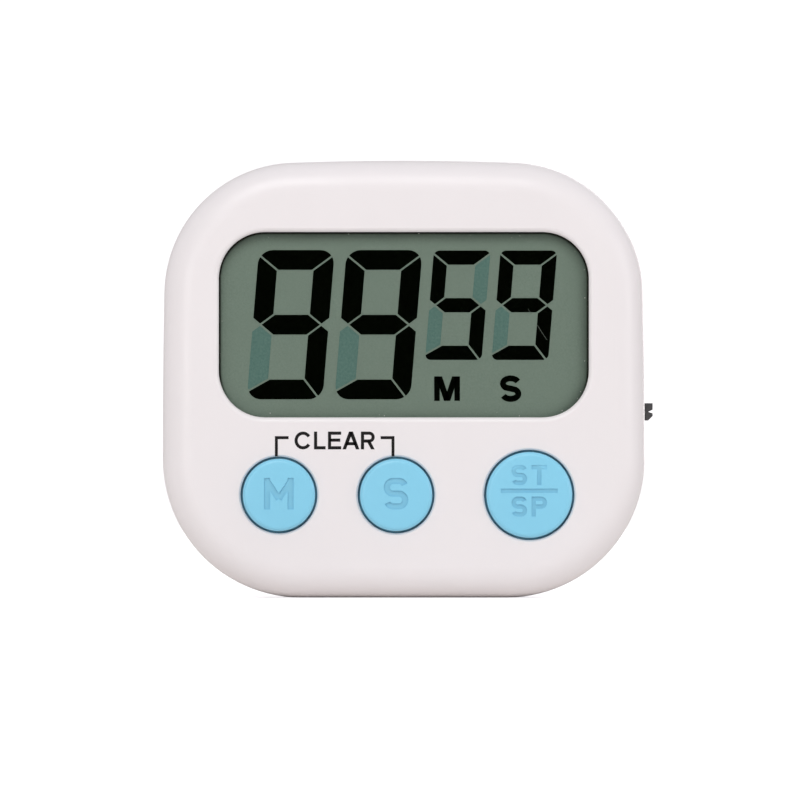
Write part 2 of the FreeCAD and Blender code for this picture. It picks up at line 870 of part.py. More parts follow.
def transistor():
    """A small moulded body on three flat legs, two below and one above."""
    x, z = transistor_place
    wide = transistor_wide / 2
    tall = transistor_tall / 2
    low = board_back + transistor_lift
    body = block(x - wide, x + wide, low, low + transistor_thick, z - tall, z + tall)
    half = leg_width / 2
    legs = []
    for middle, start, end in ((x - leg_step, z - leg_reach, z - leg_root),
                               (x + leg_step, z - leg_reach, z - leg_root),
                               (x, z + leg_root, z + leg_reach)):
        legs.append(block(middle - half, middle + half, board_back, board_back + leg_width, start, end))
    return joined([body] + legs)


def chips(places, wide, tall, rise):
    """A row of small chip parts soldered flat to the board, as separate solids."""
    return Part.makeCompound([block(x - wide / 2, x + wide / 2, board_back, board_back + rise,
                                    z - tall / 2, z + tall / 2) for x, z in places])


# ---- slide switch ----

def terminal_place():
    return switch_left + terminal_inset


def terminal_heights():
    return [switch_middle + step * terminal_pitch for step in (-1, 0, 1)]


def switch_can():
    half = switch_tall / 2
    shell = block(switch_left, switch_right, base_back, can_back,
                  switch_middle - half, switch_middle + half)
    hollow = block(switch_left + can_wall, switch_right - can_wall, base_back - 1, can_back - can_wall,
                   switch_middle - half + can_wall, switch_middle + half - can_wall)
    window = block(switch_right - 1, switch_right + 1, knob_front - carriage_gap,
                   knob_front + knob_thick + carriage_gap,
                   knob_height - knob_travel - knob_tall / 2 - carriage_gap,
                   knob_height + knob_tall / 2 + carriage_gap)
    return shell.cut([hollow, window])


def switch_base():
    half = switch_tall / 2
    return block(switch_left, switch_right, board_back, base_back,
                 switch_middle - half, switch_middle + half)


def switch_terminals():
    pins = [rod_y(terminal_place(), z, terminal_radius, board_back - terminal_reach, board_back)
            for z in terminal_heights()]
    return Part.makeCompound(pins)


def carriage_front():
    return base_back + wiper_gap + wiper_thickness


def switch_wiper():
    """The contact leaf under the sliding carriage."""
    half = carriage_tall / 2 - wiper_margin
    left = switch_left + can_wall + carriage_gap + wiper_lead_in
    right = switch_right - can_wall - carriage_gap - wiper_margin
    front = base_back + wiper_gap
    return block(left, right, front, carriage_front(), knob_height - half, knob_height + half)


def power_switch_knob():
    """A carriage inside the switch and a stem that ends in two teeth outside the case."""
    tip = half_width + knob_proud
    high = knob_height + knob_tall / 2
    low = knob_height - knob_tall / 2
    root = switch_right - can_wall - carriage_gap
    profile = [
        V(root - 1, knob_front, low),
        V(tip - knob_notch, knob_front, low),
        V(tip, knob_front, low + knob_notch),
        V(tip, knob_front, knob_height - knob_notch / 3),
        V(tip - knob_notch, knob_front, knob_height),
        V(tip, knob_front, knob_height + knob_notch / 2),
        V(tip, knob_front, high),
        V(root - 1, knob_front, high),
    ]
    face = Part.Face(Part.makePolygon(profile + [profile[0]]))
    stem = face.extrude(V(0, knob_thick, 0))
    half = carriage_tall / 2
    back = can_back - can_wall - carriage_gap
    carriage = block(switch_left + can_wall + carriage_gap, root, carriage_front(), back,
                     knob_height - half, knob_height + half)
    return joined([carriage, stem])


# ---- battery ----

def battery_can():
    """The steel can and its positive end."""
    inside = cell_radius - sleeve_thickness
    can = rod_x(cell_y, cell_middle_height, inside, cell_left, cell_right - nub_length)
    nub = rod_x(cell_y, cell_middle_height, nub_radius, cell_left, cell_right)
    rim = [e for e in nub.Edges if abs(e.BoundBox.XMin - cell_right) < TINY and e.BoundBox.XLength < TINY]
    return joined([can, nub.makeFillet(nub_length / 3, rim)])


def battery_sleeve():
    left = cell_left + sleeve_end_lip
    right = cell_right - nub_length - sleeve_end_lip
    tube = rod_x(cell_y, cell_middle_height, cell_radius, left, right)
    return tube.cut(rod_x(cell_y, cell_middle_height, cell_radius - sleeve_thickness, left - 1, right + 1))


def contact_plate(side):
    """A flat contact against one end wall of the tray, with a tab down through the tray's wall."""
    wall = side * tray_half_width
    face = wall - side * contact_thickness
    half = contact_height / 2
    left = min(wall, face)
    right = max(wall, face)
    plate = block(left, right, cell_y - half + contact_floor_gap, cell_y + half,
                  cell_middle_height - half, cell_middle_height + half)
    middle = cell_y + tab_width
    tab = block(left, right, middle - tab_width / 2, middle + tab_width / 2, tray_bottom - tab_reach,
                cell_middle_height)
    return joined([plate, tab])


def positive_contact():
    face = tray_half_width - contact_thickness
    bump = rod_x(cell_y, cell_middle_height, nub_radius, face - contact_bump, face + TINY)
    return joined([contact_plate(1), bump])


def battery_spring():
    """A coil between the negative contact and the cell."""
    length = spring_length - 2 * (spring_wire + spring_gap)
    helix = Part.makeHelix(length / spring_turns, length, spring_radius)
    ring = Part.Wire(Part.makeCircle(spring_wire, helix.Vertexes[0].Point, V(0, 1, 0)))
    coil = Part.Wire(helix.Edges).makePipeShell([ring], True, True)
    coil.rotate(V(0, 0, 0), V(0, 1, 0), -90)
    coil.translate(V(cell_left - spring_wire - spring_gap, cell_y, cell_middle_height))
    return coil


# ---- leads held inside the case ----

def lead(points):
    """A round insulated lead along straight runs joined by tangent arcs."""
    edges = []
    start = points[0]
    for before, corner, after in zip(points, points[1:], points[2:]):
        to_before = (before - corner)
        to_after = (after - corner)
        trim = 0.45 * min(to_before.Length, to_after.Length)
        turn = pi - to_before.getAngle(to_after)
        radius = trim / tan(turn / 2)
        first = corner + to_before.normalize() * trim
        last = corner + to_after.normalize() * trim
        inward = (to_before + to_after).normalize()
        centre = corner + inward * sqrt(trim ** 2 + radius ** 2)
        middle = centre - inward * radius
        edges.append(Part.LineSegment(start, first).toShape())
        edges.append(Part.Arc(first, middle, last).toShape())
        start = last
        print("lead bend radius", round(radius, 2))
    edges.append(Part.LineSegment(start, points[-1]).toShape())
    path = Part.Wire(edges)
    ring = Part.Wire(Part.makeCircle(lead_radius, points[0], points[1] - points[0]))
    return path.makePipeShell([ring], True, True)


def battery_lead(side):
    """From a battery contact's tab down and forward to the board."""
    x = side * (tray_half_width - contact_thickness / 2)
    y = cell_y + tab_width
    top = tray_bottom - tab_reach
    corner = V(x, y, top - battery_lead_drop)
    return lead([V(x, y, top), corner, V(x, board_back, corner.z)])


def buzzer_lead(offset, start_y):
    """From the buzzer forward to the board, with a slight step sideways."""
    x = buzzer_place + offset
    z = buzzer_height + 3.0
    run = 1.8
    step = 1.6
    return lead([V(x, start_y, z), V(x, start_y - run, z), V(x + step, board_back + run, z + 0.4),
                 V(x + step, board_back, z + 0.4)])


def buzzer_plate():
    return rod_y(buzzer_place, buzzer_height, buzzer_radius, buzzer_ledge - plate_thickness, buzzer_ledge)


def buzzer_ceramic():
    back = buzzer_ledge - plate_thickness
    return rod_y(buzzer_place, buzzer_height, ceramic_radius, back - ceramic_thickness, back)


# ---- fasteners and magnets ----

def screw(x, z, seat, radius, length, head_radius, head_height):
    """A screw pointing forwards, its head against the seat, with a cross recess."""
    shank = rod_y(x, z, radius, seat - length, seat + TINY)
    head = rod_y(x, z, head_radius, seat, seat + head_height)
    rim = edges_at_depth(head, seat + head_height)
    head = head.makeFillet(head_height / 3, rim)
    wide = head_radius / 3
    reach = head_radius * 0.65
    low = seat + head_height / 3
    cross = [
        block(x - reach, x + reach, low, seat + head_height + 1, z - wide / 2, z + wide / 2),
        block(x - wide / 2, x + wide / 2, low, seat + head_height + 1, z - reach, z + reach),
    ]
    return joined([shank, head]).cut(cross)


def case_screws():
    return Part.makeCompound([
        screw(x, z, screw_seat, case_screw_radius, case_screw_length,
              case_head_radius, case_head_height)
        for x, z in case_screw_places()
    ])


def board_screws():
    return Part.makeCompound([
        screw(x, z, board_back, board_screw_radius, board_screw_length,
              board_head_radius, board_head_height)
        for x, z in board_screw_places()
    ])


def magnets():
    front = back_face - magnet_thickness
    return Part.makeCompound([rod_y(x, z, magnet_radius, front, back_face)
                              for x, z in mirrored(magnet_place, magnet_height)])


# ---- write every piece ----

def all_pieces():
    ceramic_front = buzzer_ledge - plate_thickness - ceramic_thickness
    pieces = {
        "front_shell": front_shell(),
        "rear_cover": rear_cover(),
        "battery_door": battery_door(),
        "kickstand": kickstand(),
        "keypad_mat": keypad_mat(),
        "circuit_board": circuit_board(),
        "chip_blob": chip_blob(),
        "crystal": crystal(),
        "inductor": inductor(),
        "transistor": transistor(),
        "capacitors": chips(capacitor_places, capacitor_wide, capacitor_tall, capacitor_rise),
        "resistors": chips(resistor_places, resistor_wide, resistor_tall, resistor_rise),
        "switch_can": switch_can(),
        "switch_base": switch_base(),
        "switch_terminals": switch_terminals(),
        "switch_wiper": switch_wiper(),
        "power_switch_knob": power_switch_knob(),
        "battery_can": battery_can(),
        "battery_sleeve": battery_sleeve(),
        "battery_spring": battery_spring(),
        "negative_contact": contact_plate(-1),
        "positive_contact": positive_contact(),
        "battery_lead_red": battery_lead(1),
        "battery_lead_black": battery_lead(-1),
        "piezo_plate": buzzer_plate(),
        "piezo_ceramic": buzzer_ceramic(),
        "piezo_lead_signal": buzzer_lead(2.0, ceramic_front),
        "piezo_lead_ground": buzzer_lead(-7.6, buzzer_ledge - plate_thickness),
        "case_screws": case_screws(),
        "board_screws": board_screws(),
        "magnets": magnets(),
    }
    pieces.update(display_pieces())
    pieces.update(buttons())
    pieces.update(pills())
    return pieces


os.makedirs("parts", exist_ok=True)
for name, shape in all_pieces().items():
    if not shape.isValid() or shape.Volume <= 0:
        print("not a sound solid:", name)
    print(name, "solids", len(shape.Solids), "volume", round(shape.Volume, 2))
    shape.exportStep("parts/" + name + ".step")
print("case depth", round(case_depth, 3))
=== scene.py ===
# %% [markdown]
# # A digital bench timer
# The timer's parts come from a CAD model, so their sizes and places are already right. In this
# lesson each part gets the surface of the real one, and the thin things that CAD leaves out are
# added: the digits of the display, the printing on the case, and the small windings and tracks
# inside. Every length is in metres, so `mm` turns millimetres into metres.

# %% Load the parts
from math import cos, pi, radians, sin

import bmesh
import bpy
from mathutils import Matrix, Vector


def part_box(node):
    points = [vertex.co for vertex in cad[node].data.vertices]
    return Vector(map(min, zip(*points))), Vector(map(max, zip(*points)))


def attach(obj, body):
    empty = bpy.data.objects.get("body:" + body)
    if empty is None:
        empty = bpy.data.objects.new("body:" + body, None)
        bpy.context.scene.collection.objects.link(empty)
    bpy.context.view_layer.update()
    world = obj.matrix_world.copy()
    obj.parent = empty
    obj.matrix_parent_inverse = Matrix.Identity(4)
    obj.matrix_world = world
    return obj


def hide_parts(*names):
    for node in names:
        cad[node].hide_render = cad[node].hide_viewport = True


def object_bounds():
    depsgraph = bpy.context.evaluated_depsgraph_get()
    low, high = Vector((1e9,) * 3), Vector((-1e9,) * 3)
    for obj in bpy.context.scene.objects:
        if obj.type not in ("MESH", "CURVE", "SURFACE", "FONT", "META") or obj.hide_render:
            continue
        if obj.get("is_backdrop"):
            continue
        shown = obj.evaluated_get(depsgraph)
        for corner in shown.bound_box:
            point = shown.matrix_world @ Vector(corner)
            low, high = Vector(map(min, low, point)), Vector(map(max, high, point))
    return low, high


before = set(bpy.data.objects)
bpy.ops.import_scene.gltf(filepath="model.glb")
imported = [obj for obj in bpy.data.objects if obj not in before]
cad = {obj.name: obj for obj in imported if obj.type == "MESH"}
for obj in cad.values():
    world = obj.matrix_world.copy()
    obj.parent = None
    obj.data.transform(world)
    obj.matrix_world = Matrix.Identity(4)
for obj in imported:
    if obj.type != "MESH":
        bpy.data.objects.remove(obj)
cad_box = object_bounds()
mm = 0.001

# %% [markdown]
# A product picture is taken from straight in front with a very long lens, so that the case isn't
# distorted: from 2.5 m away its sides look as wide as its face. The lens follows from the width
# that has to show, 124 mm at the front of the case. The camera stands level, a little below the
# middle of the case.

# %% Camera
view_width = 124.3 * mm
view_middle = Vector((-0.59, 0, 30.75)) * mm
camera_distance = 2.5
front_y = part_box("front_shell")[0].y

camera_data = bpy.data.cameras.new("camera")
camera_data.sensor_width = 36
camera_data.lens = camera_data.sensor_width * (camera_distance + front_y) / view_width
camera = bpy.data.objects.new("camera", camera_data)
camera.location = view_middle - Vector((0, camera_distance, 0))
camera.rotation_euler = (pi / 2, 0, 0)
bpy.context.scene.collection.objects.link(camera)
bpy.context.scene.camera = camera
print("lens", round(camera_data.lens, 1), "mm")

# %% [markdown]
# Nodes are made by one method, `node`, for materials and for Geometry Nodes alike. It takes the
# node's type, its settings, and the values or links of its sockets. What it gives back is a
# `Quantity`, which can be used in ordinary arithmetic: `1 - mask` adds a Math node by itself.

# %% A small way to write nodes
class Quantity:
    """One output of a node, which takes part in arithmetic."""

    def __init__(self, nodes, socket):
        self.nodes = nodes
        self.socket = socket

    def of(self, name):
        """Another output of the same node."""
        return Quantity(self.nodes, self.nodes.find(self.socket.node.outputs, name))

    def maths(self, operation, first, second):
        """A Math node with two inputs, each a number or a Quantity."""
        return self.nodes.node("ShaderNodeMath", {"operation": operation}, {0: first, 1: second})

    def __add__(self, other):
        return self.maths("ADD", self, other)

    def __radd__(self, other):
        return self.maths("ADD", other, self)

    def __sub__(self, other):
        return self.maths("SUBTRACT", self, other)

    def __rsub__(self, other):
        return self.maths("SUBTRACT", other, self)

    def __mul__(self, other):
        return self.maths("MULTIPLY", self, other)

    def __rmul__(self, other):
        return self.maths("MULTIPLY", other, self)


class Nodes:
    """A node tree in which one method makes every node."""

    def __init__(self, tree):
        self.tree = tree

    def find(self, sockets, key):
        shown = [s for s in sockets if s.enabled]
        return shown[key] if isinstance(key, int) else next(s for s in shown if s.name == key)

    def node(self, kind, settings=None, values=None):
        made = self.tree.nodes.new(kind)
        for key, value in (settings or {}).items():
            if key == "stops":
                set_stops(made.color_ramp, value)
            else:
                setattr(made, key, value)
        for key, value in (values or {}).items():
            socket = self.find(made.inputs, key)
            if isinstance(value, Quantity):
                self.tree.links.new(value.socket, socket)
            else:
                socket.default_value = value
        return Quantity(self, self.find(made.outputs, 0)) if made.outputs else None


def set_stops(ramp, stops):
    """Gives a colour ramp its (place, colour) stops."""
    while len(ramp.elements) > 1:
        ramp.elements.remove(ramp.elements[0])
    ramp.elements[0].position, ramp.elements[0].color = stops[0]
    for place, colour in stops[1:]:
        ramp.elements.new(place).color = colour


print("nodes are ready to be written")

# %% [markdown]
# A finish is a material with some everyday helpers: `noise` is an uneven pattern whose grain is
# given in millimetres, `blend` mixes two colours by a mask, `bump` turns a height into a small
# relief, and `surface` joins it all to a Principled shader. Patterns use Object coordinates,
# because every part's object sits at the origin, so the patterns stay on the part as it moves.

# %% Helpers for finishes
def opaque(colour):
    return (*colour, 1)


def shade(colour, factor):
    return tuple(min(1, c * factor) for c in colour)


class Finish(Nodes):
    """A material built from nodes."""

    def __init__(self, name):
        self.material = bpy.data.materials.new(name)
        self.material.use_nodes = True
        super().__init__(self.material.node_tree)
        self.tree.nodes.clear()
        self.place = self.node("ShaderNodeTexCoord").of("Object")

    def axes(self):
        """The three coordinates of the point, in millimetres."""
        parts = self.node("ShaderNodeSeparateXYZ", None, {0: self.place})
        return [parts.of(name) * (1 / mm) for name in "XYZ"]

    def noise(self, grain, detail=2.0, stretch=None):
        place = self.place
        if stretch:
            place = self.node("ShaderNodeMapping", None, {"Vector": place, "Scale": stretch})
        return self.node("ShaderNodeTexNoise", None, {
            "Vector": place, "Scale": 1 / (grain * mm), "Detail": detail})

    def spread(self, value, low, high, to_low=0.0, to_high=1.0):
        """Maps low..high to to_low..to_high, and stops at both ends."""
        return self.node("ShaderNodeMapRange", None, {
            "Value": value, "From Min": low, "From Max": high, "To Min": to_low, "To Max": to_high})

    def blend(self, mask, first, second):
        colours = {"Factor": mask}
        for key, colour in (("A", first), ("B", second)):
            colours[key] = colour if isinstance(colour, Quantity) else opaque(colour)
        return self.node("ShaderNodeMix", {"data_type": "RGBA"}, colours)

    def bump(self, height, depth, under=None):
        values = {"Height": height, "Distance": depth * mm}
        if under:
            values["Normal"] = under
        return self.node("ShaderNodeBump", None, values)

    def surface(self, **values):
        """A Principled shader; base_color and so on are its sockets' names in small letters."""
        keys = {key.replace("_", " ").title().replace("Ior", "IOR"): value
                for key, value in values.items()}
        for key in ("Base Color", "Emission Color"):
            if isinstance(keys.get(key), tuple):
                keys[key] = opaque(keys[key])
        self.show(self.node("ShaderNodeBsdfPrincipled", None, keys))
        return self.material

    def show(self, shader):
        self.node("ShaderNodeOutputMaterial", None, {"Surface": shader})


print("helpers for finishes are ready")

# %% [markdown]
# The studio is a pale sweep of paper that curves up far behind the timer, so no horizon shows.
# The paper is to look evenly white, but white paper would throw so much light up that the rounded
# underside of the case would vanish. So the camera sees bright paper, while the light that the
# paper sends on comes from a warmer, darker one, and the sky is made of two parts in the same
# way. The sky gives even light, and a large lamp above and in front gives the case its form.
# Three weak ones, from the right, from low down on the left and from behind, open the shadows.

# %% Studio
timer_middle = Vector((0, 0, 34)) * mm


def sweep_points():
    """The side view of the paper: flat floor, a wide curve, then a wall."""
    front, back, top, radius, steps = -4.0, 4.0, 4.0, 0.8, 16
    points = [(front, 0.0)]
    for step in range(steps + 1):
        angle = step / steps * pi / 2
        points.append((back - radius + radius * sin(angle), radius - radius * cos(angle)))
    return points + [(back, top)]


def paper_finish():
    finish = Finish("studio_paper")
    mottle = finish.noise(60, 3)
    bright = finish.node("ShaderNodeBsdfPrincipled", None, {
        "Base Color": finish.blend(mottle, (0.9, 0.9, 0.92), (0.93, 0.93, 0.95)), "Roughness": 0.9,
        "Emission Color": (1.0, 0.985, 1.0, 1), "Emission Strength": 0.55})
    warm = finish.node("ShaderNodeBsdfDiffuse", None, {
        "Color": finish.blend(mottle, (0.89, 0.855, 0.825), (0.93, 0.895, 0.865))})
    seen = finish.node("ShaderNodeLightPath").of("Is Camera Ray")
    finish.show(finish.node("ShaderNodeMixShader", None, {0: seen, 1: warm, 2: bright}))
    return finish.material


def paper_sweep(half_wide):
    paper = bmesh.new()
    rows = [[paper.verts.new((x, y, z)) for x in (-half_wide, half_wide)] for y, z in sweep_points()]
    for low, high in zip(rows, rows[1:]):
        paper.faces.new((low[0], low[1], high[1], high[0]))
    mesh = bpy.data.meshes.new("paper_sweep")
    paper.to_mesh(mesh)
    mesh.shade_smooth()
    mesh.materials.append(paper_finish())
    sweep = bpy.data.objects.new("paper_sweep", mesh)
    bpy.context.scene.collection.objects.link(sweep)
    sweep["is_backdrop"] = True


def soft_lamp(name, place, size, power, colour):
    """A square lamp that faces the middle of the timer, and doesn't show itself."""
    data = bpy.data.lights.new(name, "AREA")
    data.size = size
    data.energy = power
    data.color = colour
    lamp = bpy.data.objects.new(name, data)
    lamp.location = place
    lamp.rotation_euler = (timer_middle - lamp.location).to_track_quat("-Z", "Y").to_euler()
    lamp.visible_camera = False
    bpy.context.scene.collection.objects.link(lamp)


def pale_sky(strength):
    """A sky that lights the timer with this strength, but looks white itself."""
    sky = bpy.data.worlds.new("pale_sky")
    sky.use_nodes = True
    sky.node_tree.nodes.clear()
    made = Nodes(sky.node_tree)
    seen = made.node("ShaderNodeLightPath").of("Is Camera Ray")
    lit, shown = [
        made.node("ShaderNodeBackground", None, {"Color": (0.99, 0.985, 1.0, 1), "Strength": level})
        for level in (strength, 1.0)]
    mixed = made.node("ShaderNodeMixShader", None, {0: seen, 1: lit, 2: shown})
    made.node("ShaderNodeOutputWorld", None, {"Surface": mixed})
    bpy.context.scene.world = sky


paper_sweep(4)
pale_sky(0.6)
soft_lamp("key_lamp", (-0.2, -1.0, 0.95), 0.7, 5.2, (1.0, 0.995, 0.99))
soft_lamp("right_lamp", (0.9, -0.5, 0.2), 0.5, 1.5, (1.0, 0.99, 1.0))
soft_lamp("low_lamp", (-0.5, -1.0, 0.06), 0.4, 1.6, (1.0, 0.97, 0.95))
soft_lamp("back_lamp", (0.35, 1.2, 0.3), 0.6, 3.0, (1.0, 0.99, 1.0))
bpy.context.scene.view_settings.view_transform = "Standard"
print("studio is lit")

# %% [markdown]
# The case is injection-moulded white plastic with a satin gloss. Close up such plastic isn't one
# flat colour: the melt leaves faint paler streams, fingers leave patches that are slightly
# smoother, and the polished mould leaves a very fine orange peel. The same recipe serves every
# moulded part, with its own colour, gloss and grain. On the caps, the letters are sunk 0.3 mm
# deep, and painted shade darkens their floor a little, so the recipe can also take a mask for it.
# The mask starts below the cap's dome, and ends short of the cap's rim, 4.7 mm from its middle.

# %% Moulded plastic
def moulded(name, colour, gloss, grain, relief, streak=0.03, sunk=None):
    finish = Finish(name)
    streams = finish.noise(17, 3, (1.0, 1.0, 0.45))
    specks = finish.spread(finish.noise(0.12, 1), 0.66, 0.8, 0, 0.12)
    tone = finish.blend(streams, shade(colour, 1 - streak), shade(colour, 1 + streak / 2))
    tone = finish.blend(specks, tone, shade(colour, 0.8))
    if sunk:
        # painted shade: where the mask is, the colour is darkened to 0.88 of itself
        tone = finish.blend(sunk(finish), tone, shade(colour, 0.88))
    touch = finish.spread(finish.noise(7, 3), 0.35, 0.7, gloss - 0.05, gloss + 0.06)
    peel = finish.bump(finish.noise(grain * 9, 2), relief * 2.5)
    skin = finish.bump(finish.noise(grain, 2), relief, peel)
    return finish.surface(base_color=tone, roughness=touch, normal=skin)


def painted_letter_shade(finish):
    """The mask of painted shade on the floor of a cap's letters: deeper than the cap's dome, and well
    inside its rim.
    """
    x, y, z = finish.axes()
    near_middle = None
    for name in ("minute_button", "second_button", "start_stop_button"):
        low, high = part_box(name)
        across = x - (low.x + high.x) / 2 / mm
        up = z - (low.z + high.z) / 2 / mm
        square = across * across + up * up
        near_middle = square if near_middle is None else square.maths("MINIMUM", square, near_middle)
    cap_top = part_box("minute_button")[0].y / mm
    floor_start, floor_full = cap_top + 0.21, cap_top + 0.25
    square_end, square_full = 22.5, 21.5
    below_dome = finish.spread(y, floor_start, floor_full)
    return below_dome * finish.spread(near_middle, square_end, square_full)


case_front = moulded("case_front_plastic", (0.865, 0.829, 0.845), 0.33, 0.35, 0.0012)
case_back = moulded("case_back_plastic", (0.85, 0.815, 0.825), 0.46, 0.28, 0.0035)
button_blue = moulded("button_plastic", (0.25, 0.65, 0.87), 0.34, 0.3, 0.0012, 0.04, painted_letter_shade)
knob_grey = moulded("knob_plastic", (0.06, 0.06, 0.062), 0.42, 0.22, 0.004, 0.1)
switch_black = moulded("switch_plastic", (0.02, 0.02, 0.022), 0.5, 0.2, 0.004, 0.15)


def dress(material, *names):
    """Gives CAD nodes a material in place of their plain one."""
    for name in names:
        cad[name].material_slots[0].material = material


dress(case_front, "front_shell")
dress(case_back, "rear_cover", "battery_door", "kickstand")
dress(button_blue, "minute_button", "second_button", "start_stop_button")
dress(knob_grey, "power_switch_knob")
dress(switch_black, "switch_base")
print("moulded parts are finished")

# %% [markdown]
# The pane over the display is thin clear acrylic with a coating that keeps reflections low. A
# mirror shader is mixed with a see-through one by how slanting the pane is seen, so that it turns
# glossy only from the side, as a real coated pane does. Hairlines and rubbed patches make the
# mirror a little uneven.

# %% Clear pane
def clear_pane():
    finish = Finish("clear_pane")
    rubbed = finish.noise(3, 4)
    hairlines = finish.noise(0.8, 1, (1.0, 1.0, 0.04))
    rough = finish.spread(rubbed, 0.3, 0.8, 0.02, 0.07)
    mirror = finish.node("ShaderNodeBsdfGlossy", None, {
        "Color": (0.95, 1.0, 0.98, 1), "Roughness": rough, "Normal": finish.bump(hairlines, 0.0003)})
    see_through = finish.node("ShaderNodeBsdfTransparent", None, {"Color": (0.985, 0.995, 0.99, 1)})
    slant = finish.node("ShaderNodeLayerWeight", None, {"Blend": 0.5}).of("Facing")
    mirrored = slant * slant * slant * 0.75
    finish.show(finish.node("ShaderNodeMixShader", None, {0: mirrored, 1: see_through, 2: mirror}))
    return finish.material


dress(clear_pane(), "display_window")
print("pane is clear")

# %% [markdown]
# A grey-green film lies over the display glass. What shows through it is the rough reflector
# behind, which gives a fine grain. A thin near-black line of painted shadow runs round the film
# just where the opening ends, fading out towards the bottom, and painted shade makes the film a
# little darker next to it, most along the top and the right, where the case's rim shades it. The
# distance from the opening's edge follows from a formula for a rounded rectangle, written here
# as plain arithmetic on nodes.

# %% Display film and glass
opening_wide, opening_tall, opening_corner, opening_foot = 57.5, 28.8, 7.2, 28.05


def opening_distance(finish, x, z):
    """Millimetres outwards from the edge of the display opening; negative inside it."""
    straight_wide = opening_wide / 2 - opening_corner
    straight_tall = opening_tall / 2 - opening_corner
    rise = z - (opening_foot + opening_tall / 2)
    across = finish.node("ShaderNodeMath", {"operation": "ABSOLUTE"}, {0: x}) - straight_wide
    up = finish.node("ShaderNodeMath", {"operation": "ABSOLUTE"}, {0: rise}) - straight_tall
    outside = finish.node("ShaderNodeCombineXYZ", None, {
        "X": across.maths("MAXIMUM", across, 0.0), "Y": up.maths("MAXIMUM", up, 0.0)})
    length = finish.node("ShaderNodeVectorMath", {"operation": "LENGTH"}, {0: outside}).of("Value")
    inside = across.maths("MINIMUM", across.maths("MAXIMUM", across, up), 0.0)
    return length + inside - opening_corner


def display_film():
    finish = Finish("display_film")
    x, _, z = finish.axes()
    distance = opening_distance(finish, x, z)
    rise = finish.spread(z, 30.5, 36.0)
    top = finish.spread(z, 50.0, 56.5)
    right = finish.spread(x, 22.0, 28.5)
    # painted shade from the case's rim: darker within 2.6 mm of the opening's edge, most at the top and
    # the right
    painted_rim_shade = finish.spread(distance, -2.6, -0.15) * finish.spread(top + right + 0.35, 0.0, 1.2)
    # painted shadow: a thin near-black line just inside the opening's edge, fading out towards the bottom
    line = finish.spread(distance, -0.42, -0.16) * finish.spread(rise + 0.25, 0.25, 1.0)
    grain = finish.spread(finish.noise(0.3, 2), 0.3, 0.7)
    tone = finish.blend(grain, (0.158, 0.208, 0.17), (0.202, 0.254, 0.212))
    tone = finish.blend(finish.noise(9, 2), tone, (0.18, 0.228, 0.188))
    tone = finish.blend(painted_rim_shade * painted_rim_shade * 0.75, tone, (0.045, 0.06, 0.046))
    return finish.surface(base_color=finish.blend(line, tone, (0.006, 0.005, 0.002)), roughness=0.55,
                          specular_ior_level=0.1, normal=finish.bump(grain, 0.002))


def thin_glass():
    finish = Finish("display_glass")
    clean = finish.spread(finish.noise(4, 2), 0.3, 0.7, 0.03, 0.08)
    mirror = finish.node("ShaderNodeBsdfGlossy", None, {
        "Color": (0.9, 1.0, 0.95, 1), "Roughness": clean})
    see_through = finish.node("ShaderNodeBsdfTransparent", None, {"Color": (0.86, 0.94, 0.9, 1)})
    facing = finish.node("ShaderNodeFresnel", None, {"IOR": 1.5})
    finish.show(finish.node("ShaderNodeMixShader", None, {0: facing, 1: see_through, 2: mirror}))
    return finish.material


def silvered_film():
    finish = Finish("reflector_film")
    brushing = finish.noise(0.3, 3, (0.05, 1.0, 1.0))
    return finish.surface(base_color=finish.blend(brushing, (0.55, 0.58, 0.54), (0.66, 0.68, 0.63)),
                          metallic=0.75, roughness=finish.spread(brushing, 0.3, 0.7, 0.35, 0.5),
                          normal=finish.bump(brushing, 0.003))


dress(display_film(), "front_polarizer")
dress(thin_glass(), "lcd_front_glass", "lcd_rear_glass")
dress(silvered_film(), "rear_reflector")
print("display stack is finished")

# %% [markdown]
# Flat shapes such as digits and letters start as outlines: lists of (x, z) points in millimetres.
# `plate` gives an outline a thickness and closes it, and `piece` gathers plates into one object
# that rides on a body of the timer.

# %% From outlines to thin plates
def plate(mesh, outline, front, back):
    """Adds a closed plate with this outline between two depths, its faces pointing outwards."""
    area = sum(a[0] * b[1] - b[0] * a[1] for a, b in zip(outline, outline[1:] + outline[:1]))
    points = outline if area > 0 else outline[::-1]
    rows = [[mesh.verts.new((x * mm, y * mm, z * mm)) for x, z in points] for y in (front, back)]
    mesh.faces.new(rows[0])
    mesh.faces.new(rows[1][::-1])
    count = len(points)
    for i in range(count):
        j = (i + 1) % count
        mesh.faces.new((rows[0][j], rows[0][i], rows[1][i], rows[1][j]))


def plates_mesh(name, outlines, front, back):
    mesh = bmesh.new()
    for outline in outlines:
        plate(mesh, outline, front, back)
    made = bpy.data.meshes.new(name)
    mesh.to_mesh(made)
    return made


def piece(name, mesh, material, body):
    """Makes a finished object of a mesh, and lets it ride on a body."""
    mesh.materials.clear()
    mesh.materials.append(material)
    made = bpy.data.objects.new(name, mesh)
    bpy.context.scene.collection.objects.link(made)
    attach(made, body)
    return made


print("outlines can become plates")

# %% [markdown]
# Each digit has seven segments. They all come from one rounded rectangle: a segment is what is
# left after the rectangle is cut along a few straight lines. The cuts between neighbours are
# pushed apart by half the gap on each side. Cutting a convex outline by a line always gives a
# convex outline, so a simple clipping loop is enough.

# %% Seven segments
def cut(outline, through, direction, push):
    """Keeps the part of a convex outline to the left of a line, pushed that far from it."""
    along = Vector(direction).normalized()
    side = Vector((-along.y, along.x))
    heights = [(Vector(p) - Vector(through)).dot(side) - push for p in outline]
    kept = []
    for i, point in enumerate(outline):
        ahead = (i + 1) % len(outline)
        if heights[i] >= 0:
            kept.append(point)
        if heights[i] * heights[ahead] < 0:
            t = heights[i] / (heights[i] - heights[ahead])
            kept.append(tuple(Vector(point).lerp(Vector(outline[ahead]), t)))
    return kept


